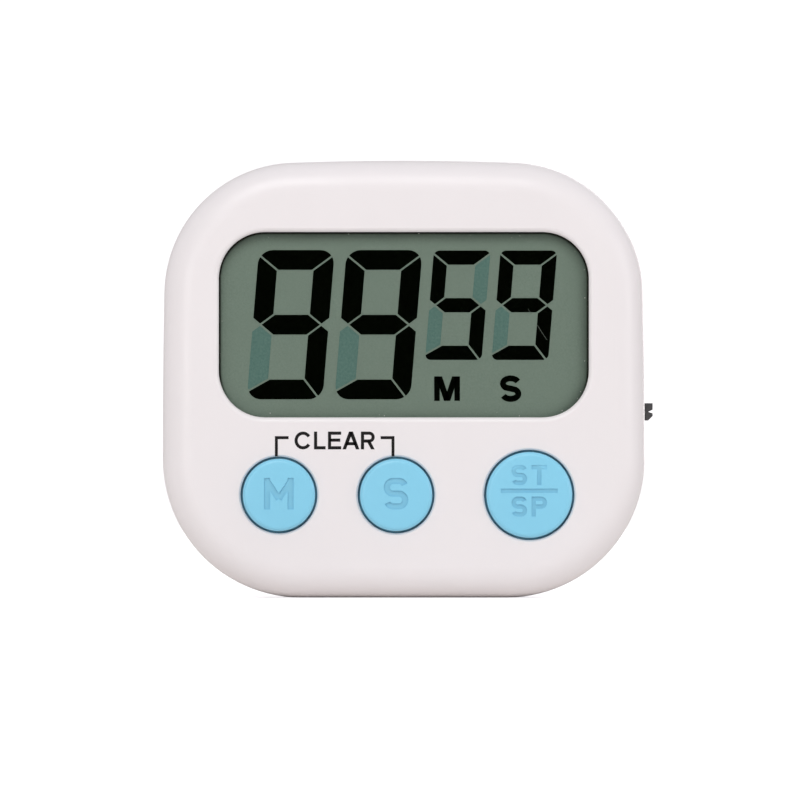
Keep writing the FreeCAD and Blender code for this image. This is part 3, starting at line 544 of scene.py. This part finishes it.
def rounded_box(wide, tall, corner, steps=8):
    points = []
    for turn, (x, z) in enumerate(((wide - corner, tall - corner), (corner, tall - corner),
                                   (corner, corner), (wide - corner, corner))):
        for step in range(steps + 1):
            angle = (turn + step / steps) * pi / 2
            points.append((x + corner * cos(angle), z + corner * sin(angle)))
    return points


class Digit:
    """The seven segment outlines of a digit, upright, with its lower left corner at zero."""

    gap = 0.29
    top_slope = 0.78
    lower_left_slope = 0.59
    lower_right_slope = 1.18
    node_inset = 0.37

    def __init__(self, wide, tall, stroke, corner):
        self.wide = wide
        self.tall = tall
        self.stroke = stroke
        self.box = rounded_box(wide, tall, corner)

    def cuts(self, lines):
        """Cuts the box by lines given as (point, direction, push)."""
        outline = self.box
        for through, direction, push in lines:
            outline = cut(outline, through, direction, push)
        return outline

    def segments(self):
        w, h, t, half = self.wide, self.tall, self.stroke, self.gap / 2
        top, low_left, low_right = self.top_slope, self.lower_left_slope, self.lower_right_slope
        near, far, middle = self.node_inset * t, w - self.node_inset * t, h / 2
        a = [((t, h - t), (1, 0), 0), ((t, h - t), (1, -top), half), ((w - t, h - t), (1, top), half)]
        d = [((t, t), (-1, 0), 0), ((t, t), (-1, -low_left), half),
             ((w - t, t), (-1, low_right), half)]
        f = [((t, 0), (0, 1), 0), ((t, h - t), (-1, top), half),
             ((near, middle), (1, top), half), ((near, middle), (1, -top), half)]
        b = [((w - t, h), (0, -1), 0), ((w - t, h - t), (-1, -top), half),
             ((far, middle), (1, -top), half), ((far, middle), (1, top), half)]
        e = [((t, 0), (0, 1), 0), ((t, t), (1, low_left), half),
             ((near, middle), (-1, -top), half), ((near, middle), (-1, top), half)]
        c = [((w - t, h), (0, -1), 0), ((w - t, t), (1, -low_right), half),
             ((far, middle), (-1, top), half), ((far, middle), (-1, -top), half)]
        g = [((0, middle - t / 2), (1, 0), 0), ((0, middle + t / 2), (-1, 0), 0),
             ((near, middle), (-1, -top), half), ((near, middle), (1, -top), half),
             ((far, middle), (-1, top), half), ((far, middle), (1, top), half)]
        return {"a": self.cuts(a), "b": self.cuts(b), "c": self.cuts(c), "d": self.cuts(d),
                "e": self.cuts(e), "f": self.cuts(f), "g": self.cuts(g)}


minutes = Digit(11.8, 23.2, 3.06, 2.2)
seconds = Digit(8.8, 17.0, 2.2, 0.9)
print("corners per segment", {key: len(line) for key, line in minutes.segments().items()})

# %% [markdown]
# Geometry Nodes repeat the digits and lean them over. The tree below takes one upright digit,
# places a row of copies at the digit pitch, and slides every point sideways by its height above
# the middle of the digit times the lean. A tree is run on a mesh once, and the result is kept as
# a plain mesh, so that nothing is left to work out later.

# %% Recipes made of Geometry Nodes
def recipe(name, inputs):
    """An empty tree with named inputs, and the node that gives them."""
    tree = bpy.data.node_groups.new(name, "GeometryNodeTree")
    tree.interface.new_socket("Shape", in_out="INPUT", socket_type="NodeSocketGeometry")
    for label, kind in inputs.items():
        tree.interface.new_socket(label, in_out="INPUT", socket_type="NodeSocket" + kind)
    tree.interface.new_socket("Shape", in_out="OUTPUT", socket_type="NodeSocketGeometry")
    made = Nodes(tree)
    return made, made.node("NodeGroupInput")


def end_recipe(made, shape, material):
    """Every recipe ends in real points with a finish on them."""
    real = made.node("GeometryNodeRealizeInstances", None, {0: shape})
    painted = made.node("GeometryNodeSetMaterial", None, {"Geometry": real, "Material": material})
    made.node("NodeGroupOutput", None, {0: painted})
    return made.tree


def follow(tree, mesh, settings):
    """Runs a recipe on a mesh, and gives the result as a plain mesh."""
    holder = bpy.data.objects.new("holder", mesh)
    bpy.context.scene.collection.objects.link(holder)
    modifier = holder.modifiers.new("recipe", "NODES")
    modifier.node_group = tree
    for item in tree.interface.items_tree:
        if item.in_out == "INPUT" and item.name in settings:
            modifier[item.identifier] = settings[item.name]
    depsgraph = bpy.context.evaluated_depsgraph_get()
    made = bpy.data.meshes.new_from_object(holder.evaluated_get(depsgraph), depsgraph=depsgraph)
    bpy.data.objects.remove(holder)
    return made


def leaning_row():
    made, start = recipe("leaning_row", {"Count": "Int", "Pitch": "Float", "Lean": "Float",
                                         "Middle": "Float", "Finish": "Material"})
    step = made.node("ShaderNodeCombineXYZ", None, {"X": start.of("Pitch")})
    line = made.node("GeometryNodeMeshLine", None, {"Count": start.of("Count"), "Offset": step})
    row = made.node("GeometryNodeInstanceOnPoints", None, {
        "Points": line, "Instance": start.of("Shape")})
    real = made.node("GeometryNodeRealizeInstances", None, {0: row})
    place = made.node("GeometryNodeInputPosition")
    height = made.node("ShaderNodeSeparateXYZ", None, {0: place}).of("Z")
    shift = (height - start.of("Middle")) * start.of("Lean")
    slide = made.node("ShaderNodeCombineXYZ", None, {"X": shift})
    leaning = made.node("GeometryNodeSetPosition", None, {"Geometry": real, "Offset": slide})
    return end_recipe(made, leaning, start.of("Finish"))


digit_row = leaning_row()
print("recipe for a row of digits has", len(digit_row.nodes), "nodes")

# %% [markdown]
# Liquid crystal that is switched on is nearly black. A segment that is switched off still shows
# faintly, as a blue-green ghost. Both lie between the pane and the film, in a gap of 0.05 mm, so
# they are plates 0.025 mm thick.

# %% Digits
def crystal_finish(name, dark, pale, gloss):
    finish = Finish(name)
    cloud = finish.spread(finish.noise(0.35, 3), 0.3, 0.7)
    return finish.surface(base_color=finish.blend(cloud, dark, pale), roughness=gloss,
                          specular_ior_level=0.0, normal=finish.bump(cloud, 0.001))


lit_crystal = crystal_finish("lit_crystal", (0.0006, 0.0011, 0.0004), (0.0016, 0.0024, 0.0012), 0.5)
resting_crystal = crystal_finish("resting_crystal", (0.092, 0.17, 0.146), (0.122, 0.206, 0.182), 0.6)
crystal_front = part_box("display_window")[1].y / mm + 0.01
crystal_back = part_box("front_polarizer")[0].y / mm - 0.015
digit_lean = 0.082


def digits(name, digit, shown, left, middle, material, count=1, pitch=0.0):
    """One or more equal digits with these segments shown."""
    segments = digit.segments()
    base = middle - digit.tall / 2
    outlines = [[(x + left, z + base) for x, z in segments[key]] for key in shown]
    upright = plates_mesh(name, outlines, crystal_front, crystal_back)
    mesh = follow(digit_row, upright, {"Count": count, "Pitch": pitch * mm, "Lean": digit_lean,
                                       "Middle": middle * mm, "Finish": material})
    return piece(name, mesh, material, "case")


minute_left, minute_pitch, minute_middle = -23.48, 13.64, 42.46
second_left, second_pitch, second_middle = 3.99, 10.36, 45.49
digits("minute_digits", minutes, "abcdfg", minute_left, minute_middle, lit_crystal, 2, minute_pitch)
digits("minute_digits_off", minutes, "e", minute_left, minute_middle, resting_crystal, 2, minute_pitch)
digits("second_tens", seconds, "acdfg", second_left, second_middle, lit_crystal)
digits("second_tens_off", seconds, "be", second_left, second_middle, resting_crystal)
digits("second_units", seconds, "abcdfg", second_left + second_pitch, second_middle, lit_crystal)
digits("second_units_off", seconds, "e", second_left + second_pitch, second_middle, resting_crystal)
print("digits show 99 minutes and 59 seconds")

# %% [markdown]
# Letters are drawn like sign writing: a centre line for each stroke, widened to a ribbon with
# square ends and mitred corners. Each letter is a short function of its box and its stroke
# width, so the same M and S could serve at any size.

# %% Letters from strokes
def arc(x, z, wide, tall, start, end, steps=14):
    """Points along part of an ellipse, with angles in degrees."""
    angles = [radians(start + (end - start) * i / steps) for i in range(steps + 1)]
    return [(x + wide * cos(a), z + tall * sin(a)) for a in angles]


def ribbon(points, width):
    """The outline of a line of even width through the points."""
    path = [Vector(p) for p in points]
    ways = [(b - a).normalized() for a, b in zip(path, path[1:])]
    sides = []
    for i in range(len(path)):
        before, after = ways[max(i - 1, 0)], ways[min(i, len(ways) - 1)]
        corner = before + after
        across = Vector((-corner.y, corner.x))
        sides.append(across * (width / corner.length_squared))
    left = [tuple(p + side) for p, side in zip(path, sides)]
    right = [tuple(p - side) for p, side in zip(path, sides)]
    return left + right[::-1]


def letter_c(x, z, w, h, s):
    return [ribbon(arc(x + w / 2, z + h / 2, (w - s) / 2, (h - s) / 2, 33, 327, 24), s)]


def letter_l(x, z, w, h, s):
    return [ribbon([(x + s / 2, z + h), (x + s / 2, z + s / 2), (x + w, z + s / 2)], s)]


def letter_e(x, z, w, h, s):
    left, low, high, bar = x + s / 2, z + s / 2, z + h - s / 2, z + h * 0.52
    bracket = [(x + w, high), (left, high), (left, low), (x + w, low)]
    return [ribbon(bracket, s), ribbon([(left, bar), (x + w * 0.93, bar)], s)]


def letter_a(x, z, w, h, s):
    top, foot = s * 0.62, s * 1.1
    left = [(x, z), (x + foot, z), (x + w / 2 + top, z + h), (x + w / 2 - top, z + h)]
    right = [(2 * x + w - a, b) for a, b in left]
    return [left, right, ribbon([(x + w * 0.2, z + h * 0.32), (x + w * 0.8, z + h * 0.32)], s)]


def letter_r(x, z, w, h, s):
    waist, bow = z + h * 0.47, (h * 0.53 - s / 2) / 2
    bend = arc(x + w - bow - s / 2, waist + bow, bow, bow, 90, -90)
    head = [(x + s, z + h - s / 2)] + bend + [(x + s, waist)]
    foot, hip = s * 1.15, x + w * 0.42
    leg = [(x + w, z), (x + w - foot, z), (hip, waist), (hip + foot, waist)]
    return [ribbon([(x + s / 2, z), (x + s / 2, z + h)], s), ribbon(head, s), leg]


def letter_m(x, z, w, h, s):
    slope, shoulder, centre = s * 1.12, x + s * 0.3, x + w / 2
    left = [(shoulder, z + h), (shoulder + slope, z + h), (centre + slope / 2, z), (centre - slope / 2, z)]
    right = [(2 * x + w - a, b) for a, b in left]
    posts = [ribbon([(side, z), (side, z + h)], s) for side in (x + s / 2, x + w - s / 2)]
    return posts + [left, right]


def letter_s(x, z, w, h, s):
    rx, rz = (w - s) / 2, (h - s) / 4
    cx, high, low = x + w / 2, z + h - s / 2 - rz, z + s / 2 + rz
    upper = arc(cx, high, rx, rz, 22, 180)
    lower = arc(cx, low, rx, rz, 0, -158)
    upper += arc(cx, high, rx, rz, 180, 232, 5)[1:]
    lower = arc(cx, low, rx, rz, 52, 0, 5)[:-1] + lower
    return [ribbon(upper + lower, s)]


print("seven letters are ready")

# %% [markdown]
# The display's own M and S name minutes and seconds. They are liquid crystal too, always lit. The
# word over the two small buttons is printed on the case: both pressed together clear the time,
# so a thin bracket runs from the word to each button.

# %% Printing
def printed_ink():
    finish = Finish("printed_ink")
    cover = finish.spread(finish.noise(0.25, 3), 0.3, 0.7)
    tone = finish.blend(cover, (0.003, 0.0022, 0.0026), (0.009, 0.007, 0.008))
    return finish.surface(base_color=tone, roughness=finish.spread(cover, 0, 1, 0.4, 0.55),
                          specular_ior_level=0.2, normal=finish.bump(cover, 0.0015))


display_marks = letter_m(4.73, 30.62, 4.0, 3.8, 0.86) + letter_s(14.95, 30.46, 3.32, 4.12, 0.92)
piece("display_letters", plates_mesh("display_letters", display_marks, crystal_front, crystal_back),
      lit_crystal, "case")

print_low, print_tall, print_stroke = 23.08, 2.76, 0.49
word = [(letter_c, -16.98, 2.65), (letter_l, -13.95, 1.8), (letter_e, -11.78, 2.05),
        (letter_a, -9.52, 2.62), (letter_r, -6.66, 2.14)]
print_marks = [line for letter, left, wide in word
               for line in letter(left, print_low, wide, print_tall, print_stroke)]
bracket_top, bracket_foot, bracket_stroke = 24.9, 22.0, 0.46
for post, end in ((-19.8, -17.9), (-1.68, -3.6)):
    bracket = [(post, bracket_foot), (post, bracket_top), (end, bracket_top)]
    print_marks.append(ribbon(bracket, bracket_stroke))
face = front_y / mm
printing = plates_mesh("case_printing", print_marks, face - 0.02, face + 0.01)
piece("case_printing", printing, printed_ink(), "case")
print(len(print_marks), "printed strokes on the case")

# %% [markdown]
# Small flaws make a clear pane believable. Dust gathers where the pane meets the case, so a few
# grains are scattered on a narrow band inside the opening's edge, and two hairline scratches
# cross the last digits. The scatter is random, but its seed is fixed, so it never changes.

# %% Dust and scratches
def dust_recipe():
    made, start = recipe("dust", {"Density": "Float", "Grain": "Float", "Seed": "Int",
                                  "Finish": "Material"})
    spots = made.node("GeometryNodeDistributePointsOnFaces", None, {
        "Mesh": start.of("Shape"), "Density": start.of("Density"), "Seed": start.of("Seed")})
    grain = made.node("GeometryNodeMeshIcoSphere", None, {
        "Radius": start.of("Grain"), "Subdivisions": 1})
    size = made.node("FunctionNodeRandomValue", {"data_type": "FLOAT"}, {
        "Min": 0.4, "Max": 1.0, "Seed": 3})
    scattered = made.node("GeometryNodeInstanceOnPoints", None, {
        "Points": spots, "Instance": grain, "Scale": size})
    return end_recipe(made, scattered, start.of("Finish"))


def edge_band(width, depth):
    """A flat band just inside the edge of the display opening."""
    band = bmesh.new()
    rows = []
    for inset in (0.1, width):
        outline = rounded_box(opening_wide - 2 * inset, opening_tall - 2 * inset, opening_corner - inset)
        left, foot = inset - opening_wide / 2, inset + opening_foot
        rows.append([band.verts.new(((x + left) * mm, depth * mm, (z + foot) * mm)) for x, z in outline])
    count = len(rows[0])
    for i in range(count):
        j = (i + 1) % count
        band.faces.new((rows[0][i], rows[0][j], rows[1][j], rows[1][i]))
    mesh = bpy.data.meshes.new("edge_band")
    band.to_mesh(mesh)
    return mesh


pane_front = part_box("display_window")[0].y / mm
dust_grey = moulded("dust", (0.62, 0.61, 0.56), 0.8, 0.05, 0.002)
grain_radius = 0.085
dust = follow(dust_recipe(), edge_band(0.9, pane_front - grain_radius / 2), {
    "Density": 1.5e5, "Grain": grain_radius * mm, "Seed": 7, "Finish": dust_grey})
piece("pane_dust", dust, dust_grey, "case")
hairline = moulded("hairline", (0.1, 0.125, 0.105), 0.5, 0.05, 0.002)
scratches = [ribbon([(20.75, 42.4), (21.5, 41.2), (22.25, 40.1)], 0.05),
             ribbon([(19.3, 44.9), (19.9, 44.1)], 0.04)]
scratched = plates_mesh("pane_scratches", scratches, pane_front - 0.008, pane_front - 0.001)
piece("pane_scratches", scratched, hairline, "case")
faces_per_grain = 20
print(len(dust.polygons) // faces_per_grain, "grains of dust and", len(scratches), "scratches")

# %% [markdown]
# Metal parts differ in how they were made. Drawn and rolled metal has fine streaks along one
# direction, a turned or pressed disc has rings round its centre, and plating adds small cloudy
# patches. One recipe takes the streak direction as a stretch of the noise.

# %% Metals
def streaked_metal(name, colour, gloss, stretch, relief=0.0015):
    finish = Finish(name)
    streaks = finish.noise(0.5, 4, stretch)
    clouds = finish.noise(2.5, 3)
    tone = finish.blend(streaks, shade(colour, 0.9), shade(colour, 1.05))
    tone = finish.blend(finish.spread(clouds, 0.55, 0.8, 0, 0.35), tone, shade(colour, 0.72))
    rough = finish.spread(clouds, 0.3, 0.7, gloss, gloss + 0.12)
    return finish.surface(base_color=tone, metallic=1.0, roughness=rough,
                          normal=finish.bump(streaks, relief))


def ringed_metal(name, colour, gloss, centres):
    """A disc finish with rings round the nearest of some (x, z) centres in millimetres."""
    finish = Finish(name)
    x, _, z = finish.axes()
    reach = None
    for cx, cz in centres:
        spot = finish.node("ShaderNodeCombineXYZ", None, {"X": x - cx, "Y": z - cz})
        away = finish.node("ShaderNodeVectorMath", {"operation": "LENGTH"}, {0: spot}).of("Value")
        reach = away if reach is None else away.maths("MINIMUM", away, reach)
    rings = finish.node("ShaderNodeTexNoise", {"noise_dimensions": "1D"}, {
        "W": reach, "Scale": 9.0, "Detail": 3.0})
    clouds = finish.noise(2, 3)
    tone = finish.blend(rings, shade(colour, 0.88), shade(colour, 1.06))
    tone = finish.blend(finish.spread(clouds, 0.5, 0.8, 0, 0.3), tone, shade(colour, 0.75))
    rough = finish.spread(clouds, 0.3, 0.7, gloss, gloss + 0.12)
    return finish.surface(base_color=tone, metallic=1.0, roughness=rough, normal=finish.bump(rings, 0.002))


def middle(name):
    """The middle of a part's box in millimetres."""
    low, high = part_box(name)
    return (low + high) / 2 / mm


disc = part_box("magnets")
magnet_side = disc[1].x / mm - (disc[1].z - disc[0].z) / mm / 2
magnet_centres = [(side, middle("magnets").z) for side in (-magnet_side, magnet_side)]
buzzer_centres = [(middle("piezo_plate").x, middle("piezo_plate").z)]
plated = streaked_metal("plated_steel", (0.74, 0.735, 0.71), 0.22, (0.15, 1.0, 1.0))
dress(plated, "battery_can", "switch_can", "crystal", "negative_contact", "positive_contact")
dress(streaked_metal("spring_wire", (0.7, 0.695, 0.68), 0.2, (1.0, 1.0, 1.0)), "battery_spring")
dress(streaked_metal("tinned_wire", (0.78, 0.78, 0.77), 0.28, (1.0, 0.2, 1.0)), "switch_terminals")
dress(streaked_metal("screw_steel", (0.5, 0.495, 0.49), 0.3, (1.0, 0.3, 1.0), 0.003),
      "case_screws", "board_screws")
dress(streaked_metal("wiper_brass", (0.78, 0.58, 0.28), 0.25, (0.2, 1.0, 1.0)), "switch_wiper")
dress(ringed_metal("magnet_nickel", (0.66, 0.655, 0.64), 0.2, magnet_centres), "magnets")
dress(ringed_metal("buzzer_brass", (0.76, 0.57, 0.27), 0.24, buzzer_centres), "piezo_plate")
print("metals are finished; the magnets are", round(2 * magnet_side, 1), "mm apart")

# %% [markdown]
# Rubber, resin, foam and wire insulation are dull and slightly uneven. They share a recipe with
# two grains: a coarse one for the colour, and a fine one for the relief. Foam gets cells from a
# Voronoi pattern, with painted shade in the pits of the cells, and the battery's sleeve is shrunk
# film with a printed band near its cap end.

# %% Rubber, resin, foam and film
def soft_finish(name, colour, gloss, grain, relief, shine=0.5, change=0.12):
    finish = Finish(name)
    coarse = finish.noise(grain * 12, 3)
    fine = finish.noise(grain, 3)
    tone = finish.blend(coarse, shade(colour, 1 - change), shade(colour, 1 + change))
    rough = finish.spread(coarse, 0.3, 0.7, gloss - 0.06, gloss + 0.08)
    return finish.surface(base_color=tone, roughness=rough, specular_ior_level=shine,
                          normal=finish.bump(fine, relief))


def foam_finish():
    finish = Finish("closed_cell_foam")
    cell = 0.35 * mm
    cells = finish.node("ShaderNodeTexVoronoi", None, {"Vector": finish.place, "Scale": 1 / cell})
    depth = finish.spread(cells, 0.0, 0.6)
    # painted shade: the pits of the cells, low in the relief, are darker than their walls
    tone = finish.blend(depth, (0.012, 0.012, 0.012), (0.045, 0.045, 0.047))
    return finish.surface(base_color=tone, roughness=0.9, specular_ior_level=0.2,
                          normal=finish.bump(depth, 0.06))


def laminate_finish():
    finish = Finish("board_laminate")
    thread = 0.12 * mm
    weave = finish.node("ShaderNodeTexMagic", {"turbulence_depth": 1}, {
        "Vector": finish.place, "Scale": 1 / thread, "Distortion": 0.4}).of("Fac")
    copper = finish.spread(finish.noise(3.2, 1), 0.47, 0.5)
    tone = finish.blend(weave, (0.018, 0.105, 0.042), (0.026, 0.135, 0.056))
    tone = finish.blend(copper * 0.55, tone, (0.045, 0.21, 0.085))
    return finish.surface(base_color=tone, roughness=0.32,
                          coat_weight=finish.spread(weave, 0, 1, 0.2, 0.35),
                          normal=finish.bump(weave, 0.004, finish.bump(copper, 0.02)))


def sleeve_finish():
    finish = Finish("battery_sleeve_film")
    x = finish.axes()[0]
    end, band_wide, line_wide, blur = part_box("battery_sleeve")[1].x / mm, 10.0, 1.0, 0.1
    band_start = end - band_wide
    line_start = band_start - line_wide
    band = finish.spread(x, band_start, band_start + blur)
    line = finish.spread(x, line_start, line_start + blur) - band
    wrinkles = finish.noise(0.9, 3, (1.0, 0.3, 0.3))
    tone = finish.blend(band, (0.04, 0.17, 0.085), (0.56, 0.57, 0.55))
    tone = finish.blend(line, tone, (0.85, 0.84, 0.8))
    tone = finish.blend(finish.spread(wrinkles, 0.5, 0.8, 0, 0.25), tone, (0.02, 0.05, 0.035))
    return finish.surface(base_color=tone, metallic=band * 0.6, coat_weight=0.4,
                          roughness=finish.spread(wrinkles, 0.3, 0.7, 0.2, 0.34),
                          normal=finish.bump(wrinkles, 0.02))


dress(soft_finish("silicone", (0.47, 0.49, 0.5), 0.55, 0.3, 0.006), "keypad_mat")
dress(soft_finish("carbon_rubber", (0.02, 0.02, 0.021), 0.7, 0.15, 0.008, 0.3),
      "minute_pill", "second_pill", "start_stop_pill")
dress(soft_finish("ferrite", (0.05, 0.05, 0.054), 0.6, 0.12, 0.01, 0.4), "inductor")
dress(soft_finish("black_epoxy", (0.012, 0.012, 0.013), 0.22, 0.8, 0.02), "chip_blob")
dress(soft_finish("moulded_epoxy", (0.022, 0.022, 0.023), 0.5, 0.12, 0.006, 0.4),
      "transistor", "resistors")
dress(soft_finish("tan_ceramic", (0.42, 0.29, 0.16), 0.5, 0.2, 0.005), "capacitors")
dress(soft_finish("silvered_ceramic", (0.7, 0.69, 0.64), 0.42, 0.4, 0.004), "piezo_ceramic")
dress(soft_finish("red_insulation", (0.5, 0.03, 0.022), 0.38, 0.5, 0.006),
      "battery_lead_red", "piezo_lead_signal")
dress(soft_finish("black_insulation", (0.018, 0.018, 0.018), 0.38, 0.5, 0.006),
      "battery_lead_black", "piezo_lead_ground")
dress(foam_finish(), "foam_pad")
dress(laminate_finish(), "circuit_board")
dress(sleeve_finish(), "battery_sleeve")
print("soft and printed finishes are done")

# %% [markdown]
# The strip that joins the display to the board is a sandwich of rubber: thin layers that conduct
# stand between thin layers that don't, so each contact on the glass meets the one below it. The
# same recipe, a row of equal blocks, makes both kinds of layer and the gold contacts under them.

# %% A row of blocks
def block_row():
    made, start = recipe("block_row", {"Count": "Int", "Pitch": "Float", "Size": "Vector",
                                       "First": "Vector", "Finish": "Material"})
    step = made.node("ShaderNodeCombineXYZ", None, {"X": start.of("Pitch")})
    line = made.node("GeometryNodeMeshLine", None, {
        "Count": start.of("Count"), "Start Location": start.of("First"), "Offset": step})
    block = made.node("GeometryNodeMeshCube", None, {"Size": start.of("Size")})
    row = made.node("GeometryNodeInstanceOnPoints", None, {"Points": line, "Instance": block})
    return end_recipe(made, row, start.of("Finish"))


def row_mesh(name, count, pitch, size, first, material):
    """A row along X; its pitch, block size and first middle are in millimetres."""
    return follow(row_of_blocks, bpy.data.meshes.new(name), {
        "Count": count, "Pitch": pitch * mm, "Size": tuple(size * mm), "First": tuple(first * mm),
        "Finish": material})


row_of_blocks = block_row()
strip_low, strip_high = (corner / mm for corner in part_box("contact_strip"))
layer, layer_pairs = 0.25, 108
strip_middle = (strip_low + strip_high) / 2
layer_size = Vector((layer, strip_high.y - strip_low.y, strip_high.z - strip_low.z))
first_layer = Vector((strip_low.x + layer / 2, strip_middle.y, strip_middle.z))
conductor = soft_finish("conducting_rubber", (0.018, 0.018, 0.019), 0.7, 0.1, 0.004, 0.3)
insulator = soft_finish("insulating_rubber", (0.5, 0.5, 0.47), 0.6, 0.1, 0.004, 0.4)
for name, shift, material in (("strip_conductors", 0.0, conductor),
                              ("strip_insulators", layer, insulator)):
    first = first_layer + Vector((shift, 0, 0))
    mesh = row_mesh(name, layer_pairs, 2 * layer, layer_size, first, material)
    layers = piece(name, mesh, material, "case")
    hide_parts("contact_strip")
gold = streaked_metal("contact_gold", (0.86, 0.63, 0.27), 0.25, (1.0, 1.0, 0.2))
board_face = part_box("circuit_board")[0].y / mm
pad_count, pad_pitch, pad_size = 44, 1.2, Vector((0.6, 0.04, 2.6))
first_pad = Vector((-(pad_count - 1) * pad_pitch / 2, board_face, strip_middle.z))
pads = row_mesh("board_pads", pad_count, pad_pitch, pad_size, first_pad, gold)
piece("board_pads", pads, gold, "case")
print(2 * layer_pairs, "layers in the strip, over", pad_count, "contacts")

# %% [markdown]
# The inductor drives the buzzer: enamelled copper wire wound on a ferrite drum. A spiral curve
# with a small round profile makes the winding, one layer of close turns.

# %% Winding
def winding_recipe():
    made, start = recipe("winding", {"Turns": "Float", "Radius": "Float", "Length": "Float",
                                     "Wire": "Float", "Foot": "Vector", "Finish": "Material"})
    spiral = made.node("GeometryNodeCurveSpiral", None, {
        "Resolution": 20, "Rotations": start.of("Turns"), "Start Radius": start.of("Radius"),
        "End Radius": start.of("Radius"), "Height": start.of("Length")})
    profile = made.node("GeometryNodeCurvePrimitiveCircle", None, {
        "Resolution": 6, "Radius": start.of("Wire")})
    wire = made.node("GeometryNodeCurveToMesh", None, {
        "Curve": spiral, "Profile Curve": profile, "Fill Caps": True})
    smooth = made.node("GeometryNodeSetShadeSmooth", None, {0: wire})
    placed = made.node("GeometryNodeTransform", None, {
        "Geometry": smooth, "Translation": start.of("Foot"), "Rotation": (-pi / 2, 0.0, 0.0)})
    return end_recipe(made, placed, start.of("Finish"))


drum_low, drum_high = (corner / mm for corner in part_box("inductor"))
drum_middle = (drum_low + drum_high) / 2
drum_waist, drum_flange, wire_radius = 1.8, 0.6, 0.11
winding_length = drum_high.y - drum_low.y - 2 * drum_flange
turns = int(winding_length / (2 * wire_radius))
copper = streaked_metal("enamelled_copper", (0.72, 0.3, 0.13), 0.24, (1.0, 1.0, 1.0))
winding_foot = Vector((drum_middle.x, drum_low.y + drum_flange, drum_middle.z))
winding = follow(winding_recipe(), bpy.data.meshes.new("inductor_winding"), {
    "Turns": float(turns), "Radius": (drum_waist + wire_radius) * mm, "Length": winding_length * mm,
    "Wire": wire_radius * mm, "Foot": tuple(winding_foot * mm), "Finish": copper})
piece("inductor_winding", winding, copper, "case")
print(turns, "turns of copper wire")

# %% [markdown]
# Chip capacitors and resistors have a metal cap at each end, where they are soldered. The corners
# of each chip are read from the part itself, which holds three or four small blocks in one mesh,
# and each end gets a thin box that stands a hair proud of the chip.

# %% End caps of the chips
def chip_boxes(name):
    """The lowest and highest corner of each block of a part made of separate blocks."""
    points = [Vector(v.co) / mm for v in cad[name].data.vertices]
    points_per_block = 24
    for i in range(0, len(points), points_per_block):
        block = points[i:i + points_per_block]
        yield [[pick(p[axis] for p in block) for axis in range(3)] for pick in (min, max)]


def end_caps(name):
    """Adds the metal ends of every chip in this part, as one piece, and counts them."""
    outlines = []
    proud, sunk, share = 0.03, 0.01, 0.22
    for low, high in chip_boxes(name):
        cap = share * (high[0] - low[0])
        for start, end in ((low[0] - proud, low[0] + cap), (high[0] - cap, high[0] + proud)):
            outlines.append([(start, low[2] - proud), (end, low[2] - proud), (end, high[2] + proud),
                             (start, high[2] + proud)])
    caps = plates_mesh(name + "_ends", outlines, low[1] + sunk, high[1] + proud)
    piece(name + "_ends", caps, plated, "case")
    return len(outlines)


print(end_caps("capacitors") + end_caps("resistors"), "soldered ends")

# %% [markdown]
# Last, the size is measured. The box of everything that shows is set beside the box of the CAD
# parts alone, and both are given as the result: nothing that was added should stand out of the
# timer.

# %% The size of the timer
wide, deep, tall = ((high - low) / mm for low, high in zip(*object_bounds()))
print("the timer is", round(wide, 1), "by", round(deep, 1), "by", round(tall, 1), "mm")
[[list(corner) for corner in box] for box in (cad_box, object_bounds())]
